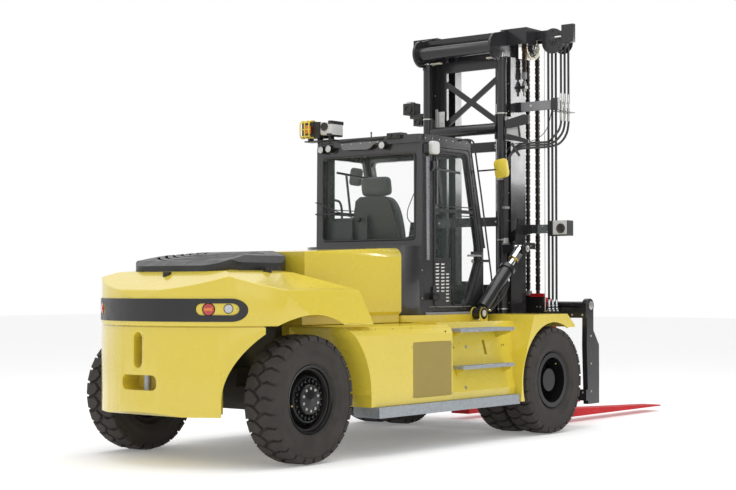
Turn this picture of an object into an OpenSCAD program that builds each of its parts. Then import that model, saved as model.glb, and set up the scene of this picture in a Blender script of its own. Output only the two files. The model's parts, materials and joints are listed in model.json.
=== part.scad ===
// Heavy electric forklift, built in millimetres with +X forward, +Y left, +Z up.
// The ground is z = 0 and the origin lies under the middle of the whole truck.

/* [Whole truck] */
// Distance from the drive axle to the steer axle
wheelbase = 3750; // [3600:10:3900]
// Rearmost point of the tail, measured back from the drive axle
tail_reach = 4727; // [4690:1:4800]
// Half width of the body at the tail
body_half = 1200; // [1150:5:1220]

/* [Wheels] */
// Radius of every tyre over the lugs
tyre_r = 560; // [540:1:560]
// Width of a tyre
tyre_w = 315; // [280:1:320]
// Half width over the outer drive tyres
drive_half = 1270; // [1255:1:1290]
// Distance between the middles of a pair of drive tyres
dual_pitch = 365; // [350:1:375]
// Radius of the rim where the tyre sits
rim_r = 258; // [250:1:270]
// Outer face of a steer tyre from the middle of the truck
steer_half = 1148; // [1130:1:1165]
// Height of a tread lug over the carcass
lug_h = 26; // [15:1:30]

/* [Tail and hood] */
// Height where the casting ends and the hood begins
gap_z = 1196; // [1180:1:1210]
// Height of the crease along the side of the hood
crease_z = 1505; // [1480:1:1530]
// Radius of the wheel arch over a steer tyre
arch_r = 730; // [715:1:750]
// Wall of the hoods and panels
skin = 20; // [12:1:30]
// Half width of the tall hood behind the cab
hood_half = 690; // [660:1:700]

/* [Cab] */
// Half width of the cab
cab_half = 685; // [670:1:690]
// Top of the cab roof
cab_top = 3060; // [3020:1:3100]
// Height of the window sill behind the seat
belt_z = 1940; // [1920:1:1960]
// Height of the cab floor
floor_z = 1330; // [1310:1:1350]

/* [Mast] */
// Half width over the outer mast
mast_half = 560; // [550:1:565]
// Top of the outer mast uprights
outer_top = 4050; // [3950:5:4100]
// Radius of a lift cylinder
lift_r = 52; // [45:1:56]
// Radius of a tilt cylinder barrel
tilt_r = 70; // [50:1:72]

/* [Carriage and forks] */
// Half width of the carriage
carr_half = 1225; // [1200:5:1240]
// Length of a fork blade
fork_len = 2440; // [2400:10:2480]
// Width of a fork blade
fork_w = 250; // [200:5:280]
// Thickness of a fork at the heel
fork_t = 90; // [80:1:95]

/* [Hidden] */
fork_face = 1000;
chain_y = 601;
chain_w = 44;
chain_h = 36;
chain_r = 134;
wheel_x = 608;
wheel_z = 4190;
chain_end = 3872;
hose_x = [506, 584, 662];
hose_mid = -970;
hose_r = 80;
hose_z = 4212;
clamp_z = 3510;
tube_x = 62;
tube_z = 4151;
rod_top = 4090;
barrel_top = 4045;
band_t = 8;
slot_r = 50;
arch_gap = 45;
step_rows = [[1095, -1685, 1010], [735, -1640, 1110]];
axle_x = (tail_reach + band_t - fork_face - fork_len) / 2;
steer_x = -wheelbase;
steer_z = tyre_r;
tail_cx = -tail_reach + body_half;
hood_back = -3340;
hood_front = -1895;
cab_back = -1551;
drive_out = drive_half - tyre_w / 2;
drive_in = drive_out - dual_pitch;
steer_mid = steer_half - tyre_w / 2;
kingpin_y = 800;
rail_in = 372;
rail_out = 410;
axle_r = 118;
mast_pin = [200, 450];
panel_z = 1186;
tilt_a = [-680, 770, 1262];
tilt_b = [120, 770, 1945];
tilt_len = sqrt(pow(tilt_b[0] - tilt_a[0], 2) + pow(tilt_b[2] - tilt_a[2], 2));
tilt_ang = atan2(tilt_b[2] - tilt_a[2], tilt_b[0] - tilt_a[0]);
barrel_end = 733;
clevis_start = 866;
pin_r = 22;
eye_play = 11;
yellow = [0.89, 0.78, 0.2];
black = [0.13, 0.13, 0.14];
steel = [0.62, 0.64, 0.66];
rubber = [0.12, 0.11, 0.11];
glass = [0.35, 0.5, 0.48, 0.5];
red = [0.7, 0.08, 0.08];
cloth = [0.16, 0.16, 0.18];

module at_axle() {
  translate([axle_x, 0, 0]) children();
}

module both() {
  children();
  mirror([0, 1, 0]) children();
}

module right() {
  mirror([0, 1, 0]) children();
}

// A box from its two corners
module box(x0, x1, y0, y1, z0, z1) {
  translate([x0, y0, z0]) cube([x1 - x0, y1 - y0, z1 - z0]);
}

module bar_y(x, z, y0, y1, r) {
  translate([x, y0, z]) rotate([-90, 0, 0]) cylinder(r = r, h = y1 - y0, $fn = 64);
}

module bar_x(x0, x1, y, z, r) {
  translate([x0, y, z]) rotate([0, 90, 0]) cylinder(r = r, h = x1 - x0, $fn = 64);
}

module bar_z(x, y, z0, z1, r) {
  translate([x, y, z0]) cylinder(r = r, h = z1 - z0, $fn = 64);
}

// A side outline in x and z drawn out along y
module side_cut(y0, y1) {
  translate([0, y1, 0]) rotate([90, 0, 0]) linear_extrude(height = y1 - y0) children();
}

// A cross outline in y and z drawn out along x
module cross_cut(x0, x1) {
  translate([x0, 0, 0]) rotate([90, 0, 90]) linear_extrude(height = x1 - x0) children();
}

module round_rect(x0, x1, y0, y1, r) {
  square_w = x1 - x0;
  square_h = y1 - y0;
  union() {
    translate([x0 + r, y0]) square([square_w - 2 * r, square_h]);
    translate([x0, y0 + r]) square([square_w, square_h - 2 * r]);
    for (px = [x0 + r, x1 - r]) {
      for (py = [y0 + r, y1 - r]) {
        translate([px, py]) circle(r = r, $fn = 48);
      }
    }
  }
}

/* Chassis */

module chassis_frame() {
  at_axle() color(black) {
    both() {
      difference() {
        side_cut(rail_in, rail_out)
          polygon([[-4195, 1185], [-4195, 820], [-3400, 820], [-3050, 470], [-60, 380],
            [285, 380], [285, 520], [150, 640], [-300, 900], [-420, 1185]]);
        bar_y(0, tyre_r, 360, 425, axle_r);
      }
      // pin that carries the mast
      bar_y(mast_pin[0], mast_pin[1], rail_in + 1, 500, 39.7);
    }
    box(-2995, -2960, -rail_in, rail_in, 520, 1185);
    box(-1760, -1725, -rail_in, rail_in, 520, 1185);
    box(-480, -440, -rail_in, rail_in, 480, 1150);
    box(-4195, -3350, -rail_in, rail_in, 880, 1185);
  }
}

module drive_axle() {
  at_axle() color(black) {
    bar_y(0, tyre_r, -drive_in + 60, drive_in - 60, axle_r);
    bar_y(0, tyre_r, -260, 260, 205);
    bar_x(-430, 0, 0, tyre_r, 150);
    both() bar_y(0, tyre_r, drive_in - 60, drive_out + 60, 95);
  }
}

module steer_axle() {
  at_axle() color(black) {
    box(steer_x - 110, steer_x + 110, -650, 650, steer_z - 110, steer_z + 90);
    box(steer_x - 130, steer_x + 130, -360, 360, steer_z + 90, 880);
    both() {
      difference() {
        union() {
          box(steer_x - 80, steer_x + 80, 640, kingpin_y, steer_z + 105, steer_z + 155);
          box(steer_x - 80, steer_x + 80, 640, kingpin_y, steer_z - 165, steer_z - 115);
          box(steer_x - 80, steer_x + 80, 640, 660, steer_z - 165, steer_z + 155);
          bar_z(steer_x, kingpin_y, steer_z + 105, steer_z + 155, 80);
          bar_z(steer_x, kingpin_y, steer_z - 165, steer_z - 115, 80);
        }
      }
    }
  }
}

module tail_plan(inset) {
  intersection() {
    union() {
      translate([tail_cx, 0]) circle(r = body_half - inset, $fn = 360);
      translate([tail_cx, -body_half + inset]) square([2400, 2 * (body_half - inset)]);
    }
    translate([-5000, -2000]) square([2460, 4000]);
  }
}

module arches() {
  both() {
    bar_y(steer_x + 10, steer_z, 500, 1400, arch_r);
    box(steer_x + 10 - arch_r, steer_x + 10 + arch_r, 500, 1400, -10, steer_z);
  }
}

module counterweight() {
  at_axle() color(yellow) {
    difference() {
      intersection() {
        translate([0, 0, 430]) linear_extrude(height = gap_z - 430) tail_plan(0);
        side_cut(-1300, 1300)
          polygon([[-5000, 1300], [-5000, 560], [-4640, 430], [-4196, 430], [-4196, 1300]]);
      }
      // open seam under the hood
      translate([0, 0, gap_z - 9]) linear_extrude(height = 10) difference() {
        tail_plan(-5);
        tail_plan(14);
      }
      arches();
      // upright slot and its rounded ends
      box(-4800, -4480, -slot_r, slot_r, 886, 1093);
      bar_x(-4800, -4480, 0, 886, slot_r);
      bar_x(-4800, -4480, 0, 1093, slot_r);
      // towing pocket
      cross_cut(-4800, -4520) round_rect(-208, 208, 647, 777, 50);
      bar_z(-4610, 0, 560, 901, 32);
    }
  }
}

module tow_pin() {
  at_axle() color(steel) bar_z(-4610, 0, 560, 900, 31.8);
}

// Outer or inner form of the tail hood, drawn in by an inset
module hood_form(inset) {
  intersection() {
    translate([0, 0, gap_z]) linear_extrude(height = 700) tail_plan(inset);
    side_cut(-1300, 1300)
      polygon([[-tail_reach + inset, gap_z - 10], [-tail_reach + inset, gap_z + 240],
        [-tail_reach + 26 + inset, crease_z - inset], [-4330, 1665 - inset],
        [-3700, 1735 - inset], [-3050, 1745 - inset], [-2560, 1505 - inset],
        [-2560, gap_z - 10]]);
    cross_cut(-5000, -2500)
      polygon([[-1210 + inset, gap_z - 10], [-1190 + inset, gap_z + 44],
        [-1085 + inset, crease_z - inset], [-690, 1660 - inset], [-300, 1735 - inset],
        [300, 1735 - inset], [690, 1660 - inset], [1085 - inset, crease_z - inset],
        [1190 - inset, gap_z + 44], [1210 - inset, gap_z - 10]]);
  }
}

// The slanting front end of the shoulders beside the tall hood
module shoulder_cut() {
  both() {
    translate([-3040, 1085, crease_z]) rotate([0, 0, -48])
      box(0, 1200, -900, 1500, -400, 500);
    side_cut(1000, 1400)
      polygon([[-3060, 1700], [-3040, 1505], [-2975, gap_z - 20], [-2300, gap_z - 20],
        [-2300, 1700]]);
  }
}

module tail_hood() {
  at_axle() color(yellow) {
    difference() {
      hood_form(0);
      difference() {
        hood_form(skin);
        box(-3036, -2400, -1300, 1300, 1000, 2000);
      }
      arches();
      shoulder_cut();
      box(hood_back, -2000, -hood_half - 0.2, hood_half + 0.2, 1100, 2200);
    }
  }
}

module tail_band() {
  at_axle() color(black) {
    difference() {
      intersection() {
        translate([0, 0, gap_z + 40]) linear_extrude(height = 195) {
          difference() {
            translate([tail_cx, 0]) circle(r = body_half + band_t, $fn = 360);
            translate([tail_cx, 0]) circle(r = body_half, $fn = 360);
          }
        }
        cross_cut(-5000, -4100) round_rect(-905, 905, gap_z + 40, gap_z + 235, 95);
      }
      both() {
        cross_cut(-5000, -4000) round_rect(560, 860, gap_z + 95, gap_z + 195, 48);
      }
    }
  }
}

module lamp_on_tail(ang, z, r, h) {
  difference() {
    translate([tail_cx, 0, z]) rotate([0, 0, ang]) translate([body_half - 6, 0, 0])
      rotate([0, 90, 0]) cylinder(r = r, h = h + 6, $fn = 48);
    translate([tail_cx, 0, 1000]) cylinder(r = body_half, h = 600, $fn = 360);
  }
}

module tail_lamps() {
  at_axle() color(red) {
    for (ang = [180 - 33, 180 + 33]) {
      lamp_on_tail(ang, gap_z + 145, 48, 16);
    }
  }
  at_axle() color([0.9, 0.9, 0.9]) {
    for (ang = [180 - 40.5, 180 + 40.5]) {
      lamp_on_tail(ang, gap_z + 145, 36, 14);
    }
  }
}

module cover_side() {
  polygon([[-4330, 1630], [-4330, 1716], [-4200, 1766], [-3904, 1822], [-3600, 1852],
    [hood_back - 8, 1862], [hood_back - 8, 1630]]);
}

module cooling_cover() {
  at_axle() color(black) {
    difference() {
      intersection() {
        translate([0, 0, 1600]) linear_extrude(height = 300)
          round_rect(-4330, hood_back - 8, -610, 610, 260);
        side_cut(-700, 700) cover_side();
        cross_cut(-4400, -3300)
          polygon([[-610, 1500], [-610, 1745], [-540, 1810], [-300, 1864], [300, 1864],
            [540, 1810], [610, 1745], [610, 1500]]);
      }
      hood_form(0);
      for (r = [260 : 70 : 680]) {
        translate([-3560, 0, 1765]) intersection() {
          difference() {
            cylinder(r = r, h = 200, $fn = 96);
            translate([0, 0, -1]) cylinder(r = r - 26, h = 202, $fn = 96);
          }
          box(-900, -60, -480, 480, -1, 201);
        }
      }
    }
    // filler caps on the hood
    difference() {
      union() {
        translate([-4400, -18, 1540]) cylinder(r = 38, h = 122, $fn = 48);
        translate([-3812, -668, 1600]) cylinder(r = 38, h = 100, $fn = 48);
      }
      hood_form(0);
    }
  }
}

module rear_hood_form(inset) {
  intersection() {
    cross_cut(hood_back + inset, hood_front - inset)
      round_rect(-hood_half + inset, hood_half - inset, 900, 1915 - inset, 90 - inset);
    side_cut(-800, 800)
      polygon([[hood_back - 50, 1000], [hood_back - 50, 1850 - inset],
        [hood_front + 60, 1916 - inset], [hood_front + 60, 1000]]);
  }
}

module rear_hood() {
  at_axle() color(yellow) {
    difference() {
      intersection() {
        rear_hood_form(0);
        cross_cut(hood_back - 10, hood_front + 10)
          polygon([[-660, 1186], [-660, 1262], [-hood_half, 1292], [-hood_half, 2000],
            [hood_half, 2000], [hood_half, 1292], [660, 1262], [660, 1186]]);
      }
      intersection() {
        rear_hood_form(skin);
        box(-3400, -1800, -640, 640, 1000, 2000);
      }
    }
  }
}

module battery_pack() {
  at_axle() color([0.3, 0.32, 0.34]) {
    box(-2950, -1770, -rail_in, rail_in, 520, 1185);
    box(-3300, -1960, -600, 600, panel_z, 1560);
  }
}

module side_shell(inset) {
  polygon([[rail_out, 448], [body_half - inset, 448], [body_half - inset, 1095],
    [body_half - 18 - inset, 1140], [body_half - 65 - inset, 1172 - inset],
    [rail_out, panel_z - inset]]);
}

module side_panels() {
  at_axle() color(yellow) {
    both() difference() {
      union() {
        difference() {
          cross_cut(-3330, -1752) side_shell(0);
          cross_cut(-3340, -1752 - skin) side_shell(skin);
        }
        // liner of the wheel arch
        intersection() {
          cross_cut(-3330, -2800) side_shell(0);
          union() {
            bar_y(steer_x + 10, steer_z, rail_out, 1400, arch_r + skin);
            box(steer_x, steer_x + 10 + arch_r + skin, rail_out, 1400, 440, steer_z);
          }
        }
      }
      arches();
      // hole behind the grille
      box(-2300, -1840, body_half - 40, 1300, 500, 1015);
    }
  }
}

module side_grilles() {
  at_axle() color([0.55, 0.45, 0.15]) {
    both() difference() {
      box(-2300, -1840, body_half - 12, body_half - 1, 500, 1015);
      for (gx = [-2270 : 52 : -1880]) {
        box(gx, gx + 30, 1150, 1300, 530, 985);
      }
    }
  }
}

module lean_outline() {
  polygon([[rail_out, 448], [1190, 448], [1190, 520], [1010, panel_z], [rail_out, panel_z]]);
}

// The room behind the slanting rear edge of the front fender
module behind_wheel(inset) {
  side_cut(390, 1300)
    polygon([[-1800, 400], [-640 - inset, 400], [-622 - inset, 640], [-530 - inset, 900],
      [-385 - inset, 1250], [-1800, 1250]]);
}

module front_fenders() {
  at_axle() color(yellow) {
    both() {
      // leaning panel behind the steps
      difference() {
        intersection() {
          cross_cut(-1752, -300) lean_outline();
          behind_wheel(0);
        }
        difference() {
          intersection() {
            cross_cut(-1752 + skin, -300)
              polygon([[rail_out - 5, 440], [1168, 440], [1168, 515], [992, 1166],
                [rail_out - 5, 1166]]);
            behind_wheel(skin);
          }
          bar_y(0, tyre_r, 390, 1400, tyre_r + arch_gap + skin);
        }
        bar_y(0, tyre_r, 390, 1400, tyre_r + arch_gap);
        box(-1050, -1010, 900, 1300, 860, 1000);
      }
      // triangular brackets under the steps
      difference() {
        for (s = step_rows) {
          for (gx = [s[1] + 20, -790]) {
            cross_cut(gx, gx + 10)
              polygon([[s[2] - 10, s[0] - 90], [s[2] - 10, s[0]], [drive_half - 30, s[0]],
                [drive_half - 30, s[0] - 14]]);
          }
        }
        cross_cut(-1760, -700) lean_outline();
      }
      // fender over the twin tyres
      difference() {
        side_cut(602, drive_half - 5)
          polygon([[-640, 372], [-622, 640], [-530, 900], [-385, 1250], [262, 1250],
            [420, 1128], [420, 1105], [300, 1105], [300, 700], [-300, 372]]);
        side_cut(590, drive_half - 5 - skin)
          polygon([[-600, 300], [-600, 640], [-510, 900], [-372, 1236], [255, 1236],
            [430, 1100], [430, 300]]);
        bar_y(0, tyre_r, 400, 1400, tyre_r + arch_gap);
        box(280, 900, 400, 1400, 0, 1106);
      }
    }
  }
}

module side_steps() {
  at_axle() color(steel) {
    both() {
      for (s = step_rows) {
        difference() {
          box(s[1], -740, s[2], drive_half - 20, s[0], s[0] + 34);
          for (gx = [s[1] + 40 : 60 : -800]) {
            box(gx, gx + 30, s[2] + 50, drive_half - 50, s[0] - 1, s[0] + 35);
          }
          cross_cut(-1760, -700) lean_outline();
        }
      }
    }
    // long running boards low down
    both() difference() {
      box(-2960, -643, 950, drive_half - 20, 350, 448);
      box(-2940, -663, 960, drive_half - 32, 340, 438);
      for (gx = [-2900 : 80 : -740]) {
        box(gx, gx + 40, 1205, 1235, 430, 450);
      }
    }
  }
}

module cab_deck() {
  at_axle() color(yellow) {
    difference() {
      translate([0, 0, panel_z]) linear_extrude(height = 1253 - panel_z)
        round_rect(-1880, -545, -cab_half - 25, cab_half + 25, 60);
      box(-1700, -700, -500, 500, 1180, 1240);
    }
    // brackets that carry the tilt cylinders
    both() difference() {
      union() {
        for (y = [712, 826]) {
          box(-745, -615, y, y + 14, panel_z, tilt_a[2]);
          bar_y(tilt_a[0], tilt_a[2], y, y + 14, 65);
        }
        box(-745, -615, 712, 840, panel_z, panel_z + 6);
      }
      bar_y(tilt_a[0], tilt_a[2], 700, 870, 28);
    }
  }
}

module cab_plan(inset) {
  union() {
    round_rect(-1885 + inset, -700, -cab_half + inset, cab_half - inset, 300 - inset);
    round_rect(-1300, -420 - inset, -cab_half + inset, cab_half - inset, 60);
  }
}

module door_way() {
  both() side_cut(cab_half - 70, cab_half + 100)
    polygon([[-1376, 1284], [-785, 1284], [-690, 1400], [-502, 1800], [-510, 1960],
      [-725, 2946], [-1376, 2946]]);
}

module cab_base() {
  at_axle() color(black) {
    difference() {
      translate([0, 0, 1253]) linear_extrude(height = belt_z - 1253) cab_plan(0);
      translate([0, 0, 1270]) linear_extrude(height = 800) cab_plan(40);
      door_way();
      // front window reaches down to the nose of the floor
      box(-500, -300, -605, 605, 1500, 2100);
    }
    // shelf behind the seat closes the rounded back
    difference() {
      translate([0, 0, belt_z - 20]) linear_extrude(height = 20) cab_plan(30);
      box(-1470, 0, -1000, 1000, 1900, 2000);
    }
    translate([0, 0, 1269]) linear_extrude(height = floor_z - 1269) cab_plan(60);
  }
}

module cab_side_outline() {
  polygon([[cab_back, belt_z], [cab_back + 10, 2975], [-680, 2975], [-425, belt_z]]);
}

module side_window() {
  polygon([[cab_back + 70, belt_z + 60], [cab_back + 76, 2890], [-1440, 2890],
    [-1440, belt_z + 60]]);
}

module cab_pillars() {
  at_axle() color(black) {
    difference() {
      side_cut(-cab_half, cab_half) cab_side_outline();
      // room inside
      side_cut(-cab_half + 60, cab_half - 60)
        polygon([[cab_back + 60, 1900], [cab_back + 68, 2915], [-750, 2915], [-495, 1900]]);
      door_way();
      cross_cut(cab_back - 50, cab_back + 100)
        round_rect(-605, 605, belt_z + 60, 2880, 40);
      cross_cut(-770, -380) round_rect(-605, 605, 1800, 2880, 40);
      // roof opening
      box(cab_back + 60, -750, -cab_half + 60, cab_half - 60, 2900, 3000);
      // fine joint where the side frames meet the rear and front frames
      both() box(cab_back - 10, -300, cab_half - 60.2, cab_half - 60, 1900, 3000);
      side_cut(-1000, 1000) side_window();
    }
    // hinge pins of the doors
    both() for (z = [1500, 2760]) {
      box(-1412, -1362, cab_half, cab_half + 24, z - 66, z - 40);
      bar_z(-1372, cab_half + 14, z - 45, z + 40, 6);
    }
  }
}

module cab_roof() {
  at_axle() color(black) {
    difference() {
      translate([0, 0, 2975]) linear_extrude(height = cab_top - 2975)
        round_rect(cab_back - 25, -640, -cab_half - 5, cab_half + 5, 70);
      translate([0, 0, 2970]) linear_extrude(height = cab_top - 2975 - 20)
        round_rect(cab_back + 60, -740, -cab_half + 60, cab_half - 60, 50);
    }
  }
}

module cab_glass() {
  at_axle() color(glass) {
    cross_cut(cab_back + 25, cab_back + 33) round_rect(-605, 605, belt_z + 60, 2880, 40);
    // front window stands up from the nose, then leans back to the roof
    intersection() {
      cross_cut(-770, -380) round_rect(-605, 605, 1500, 2880, 40);
      side_cut(-700, 700)
        polygon([[-447, 1500], [-439, 1500], [-439, 1905], [-679, 2880], [-687, 2880],
          [-447, 1903]]);
    }
    both() side_cut(cab_half - 36, cab_half - 28) side_window();
  }
}

module seat_frame() {
  at_axle() color(black) {
    box(-1330, -960, -200, 200, floor_z, floor_z + 90);
    box(-1290, -1000, -160, 160, floor_z + 90, floor_z + 300);
    box(-1330, -930, -230, 230, floor_z + 300, floor_z + 340);
    both() {
      box(-1225, -1175, 250, 290, floor_z + 330, floor_z + 600);
      box(-1225, -960, 245, 305, floor_z + 600, floor_z + 640);
      box(-1225, -1175, 225, 255, floor_z + 305, floor_z + 339);
      box(-1225, -1175, 250, 290, floor_z + 305, floor_z + 340);
    }
  }
}

module operator_seat() {
  at_axle() color(cloth) {
    translate([0, 0, floor_z + 340]) linear_extrude(height = 110)
      round_rect(-1330, -900, -240, 240, 60);
    translate([-1300, 0, floor_z + 445]) rotate([0, -8, 0]) {
      cross_cut(-50, 60)
        polygon([[-240, 0], [-310, 150], [-310, 330], [-240, 640], [-190, 690], [190, 690],
          [240, 640], [310, 330], [310, 150], [240, 0]]);
      cross_cut(-35, 45) round_rect(-175, 175, 700, 895, 60);
      both() bar_z(0, 90, 680, 710, 8);
    }
  }
}

module front_console() {
  at_axle() color(black) {
    box(-620, -470, -240, 240, floor_z, floor_z + 330);
    translate([-620, 0, floor_z + 300]) rotate([0, -24, 0]) bar_z(60, 0, 0, 404.7, 42);
    translate([-600, 0, floor_z + 520]) rotate([0, -24, 0]) box(-70, 90, -150, 150, 60, 130);
  }
}

module steering_wheel() {
  at_axle() color(black) {
    translate([-620, 0, floor_z + 300]) rotate([0, -24, 0]) translate([60, 0, 405]) {
      rotate_extrude($fn = 64) translate([185, 0]) circle(r = 14, $fn = 24);
      cylinder(r = 38, h = 30, $fn = 48);
      for (a = [0, 120, 240]) {
        rotate([0, 0, a]) translate([30, -14, 0]) cube([145, 28, 12]);
      }
    }
  }
}

module mirror_rails() {
  at_axle() color(black) {
    both() {
      // rail from the roof down to the sill, bowed out in front of the door
      bar_x(-640, -600, 612, 3010, 14);
      translate([-600, 612, 3010]) sphere(r = 17, $fn = 32);
      translate([-600, 612, 3010]) rotate([0, 168.12, 0])
        cylinder(r = 14, h = 1287.6, $fn = 24);
      translate([-335, 612, 1750]) sphere(r = 17, $fn = 32);
      bar_x(-420, -335, 612, 1750, 14);
      // arm of the mirror
      bar_y(-543, 2735, 612, 930, 12);
    }
  }
}

module mirror_heads() {
  at_axle() color(yellow) {
    both() difference() {
      cross_cut(-556, -500) round_rect(892, 1048, 2620, 2850, 45);
      bar_y(-543, 2735, 800, 930, 12);
    }
  }
}

module roof_equipment() {
  at_axle() color([0.2, 0.2, 0.2]) {
    for (y = [-218, 484, 592]) {
      bar_x(cab_back - 75, cab_back - 25, y, 2990, 52);
    }
    both() bar_x(-640, -590, 500, 3010, 52);
    // sensor head, small box and aerial on the roof
    box(-1640, -1360, 470, 650, cab_top, cab_top + 40);
    box(-1620, -1560, 500, 620, cab_top + 40, cab_top + 160);
    box(-1540, -1400, 500, 620, cab_top + 40, cab_top + 170);
    box(-1300, -1180, -160, 20, cab_top, cab_top + 70);
    bar_z(-1180, -420, cab_top, cab_top + 90, 12);
  }
}

/* Doors */

module door_outline(inset) {
  polygon([[-1370 + inset, 1290 + inset], [-790 - inset * 0.5, 1290 + inset],
    [-698 - inset * 1.1, 1402], [-508 - inset * 1.1, 1800], [-516 - inset, 1960],
    [-729 - inset, 2940 - inset], [-1370 + inset, 2940 - inset]]);
}

module door_frame() {
  difference() {
    side_cut(cab_half - 48, cab_half - 4) door_outline(0);
    difference() {
      side_cut(cab_half - 60, cab_half + 20) door_outline(62);
      box(-1400, -400, 500, 800, 2290, 2325);
      box(-1400, -1050, 500, 800, 1300, 1830);
    }
    for (gz = [1480 : 34 : 1780]) {
      box(-1310, -1245, 500, 800, gz, gz + 18);
      box(-1215, -1150, 500, 800, gz, gz + 18);
    }
    for (gz = [1380 : 34 : 1680]) {
      box(-1130, -1070, 500, 800, gz, gz + 18);
    }
  }
  // handle
  box(-690, -540, cab_half - 4, cab_half + 26, 1870, 1900);
  // hinge leaves
  for (z = [1500, 2760]) {
    difference() {
      union() {
        box(-1366, -1320, cab_half - 4, cab_half + 16, z - 39.7, z + 36);
        bar_z(-1372, cab_half + 14, z - 39.7, z + 36, 11);
      }
      bar_z(-1372, cab_half + 14, z - 50, z + 50, 6.3);
    }
  }
}

module door_glass() {
  difference() {
    side_cut(cab_half - 30, cab_half - 22) door_outline(62);
    box(-1400, -400, 500, 800, 2290, 2325);
    box(-1400, -1050, 500, 800, 1300, 1830);
  }
}

module door_frame_left() {
  at_axle() color(black) door_frame();
}

module door_glass_left() {
  at_axle() color(glass) door_glass();
}

module door_frame_right() {
  at_axle() color(black) right() door_frame();
}

module door_glass_right() {
  at_axle() color(glass) right() door_glass();
}

/* Wheels */

// A tyre about the y axis with its middle at y
module tyre(x, y) {
  w = tyre_w / 2;
  translate([x, y, tyre_r]) rotate([90, 0, 0]) rotate_extrude($fn = 96)
    polygon([[rim_r, -w + 62], [rim_r + 34, -w + 52], [rim_r + 60, -w + 14],
      [rim_r + 130, -w], [tyre_r - 70, -w], [tyre_r - 18, -w + 14], [tyre_r, -w + 46],
      [tyre_r, w - 46], [tyre_r - 18, w - 14], [tyre_r - 70, w], [rim_r + 130, w],
      [rim_r + 60, w - 14], [rim_r + 34, w - 52], [rim_r, w - 62]]);
}

// A rim with its flanges and a dished disc, the dish face at y + disc
module rim(x, y, disc, bore) {
  w = tyre_w / 2;
  translate([x, y, tyre_r]) rotate([90, 0, 0]) rotate_extrude($fn = 96)
    polygon([[rim_r - 22, -w + 30], [rim_r + 26, -w + 30], [rim_r + 26, -w + 50],
      [rim_r, -w + 61.8], [rim_r, w - 61.8], [rim_r + 26, w - 50], [rim_r + 26, w - 30],
      [rim_r - 22, w - 30]]);
  difference() {
    bar_y(x, tyre_r, y + disc - 12, y + disc + 12, rim_r - 10);
    bar_y(x, tyre_r, y + disc - 30, y + disc + 30, bore);
    for (a = [0 : 45 : 359]) {
      translate([x, y, tyre_r]) rotate([0, a + 22.5, 0]) bar_y(190, 0, disc - 30, disc + 30, 24);
    }
  }
}

module drive_tyres_left() {
  at_axle() color(rubber) {
    tyre(0, drive_out);
    tyre(0, drive_in);
  }
}

module drive_rims_left() {
  at_axle() color(black) {
    rim(0, drive_out, -100, 95.3);
    rim(0, drive_in, 100, 95.3);
    difference() {
      bar_y(0, tyre_r, drive_in + 60, drive_out - 30, 140);
      bar_y(0, tyre_r, drive_in + 50, drive_out + 60.3, 95.3);
    }
    difference() {
      bar_y(0, tyre_r, drive_out - 30, drive_out + 84, 118);
      bar_y(0, tyre_r, drive_in + 50, drive_out + 60.3, 95.3);
    }
  }
}

module drive_tyres_right() {
  right() drive_tyres_left();
}

module drive_rims_right() {
  right() drive_rims_left();
}

module knuckle_left() {
  at_axle() color(black) {
    bar_z(steer_x, kingpin_y, steer_z - 114.7, steer_z + 104.7, 62);
    bar_y(steer_x, steer_z, kingpin_y, steer_half - 130, 58);
    box(steer_x + 40, steer_x + 150, kingpin_y - 50, kingpin_y + 10, steer_z - 60, steer_z - 30);
  }
}

module knuckle_right() {
  right() knuckle_left();
}

module steer_tyre_left() {
  at_axle() color(rubber) tyre(steer_x, steer_mid);
}

module steer_tyre_right() {
  right() steer_tyre_left();
}

module steer_hub_left() {
  at_axle() color(black) {
    rim(steer_x, steer_mid, 40, 100);
    difference() {
      union() {
        bar_y(steer_x, steer_z, steer_mid - 40, steer_mid + 110, 140);
        bar_y(steer_x, steer_z, steer_mid + 110, steer_mid + 150, 96);
      }
      bar_y(steer_x, steer_z, steer_mid - 60, steer_half - 129.7, 58.3);
    }
    for (a = [0 : 36 : 359]) {
      translate([steer_x, 0, steer_z]) rotate([0, a, 0])
        bar_y(122, 0, steer_mid + 105, steer_mid + 124, 11);
    }
  }
}

module steer_hub_right() {
  right() steer_hub_left();
}

/* Mast */

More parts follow.
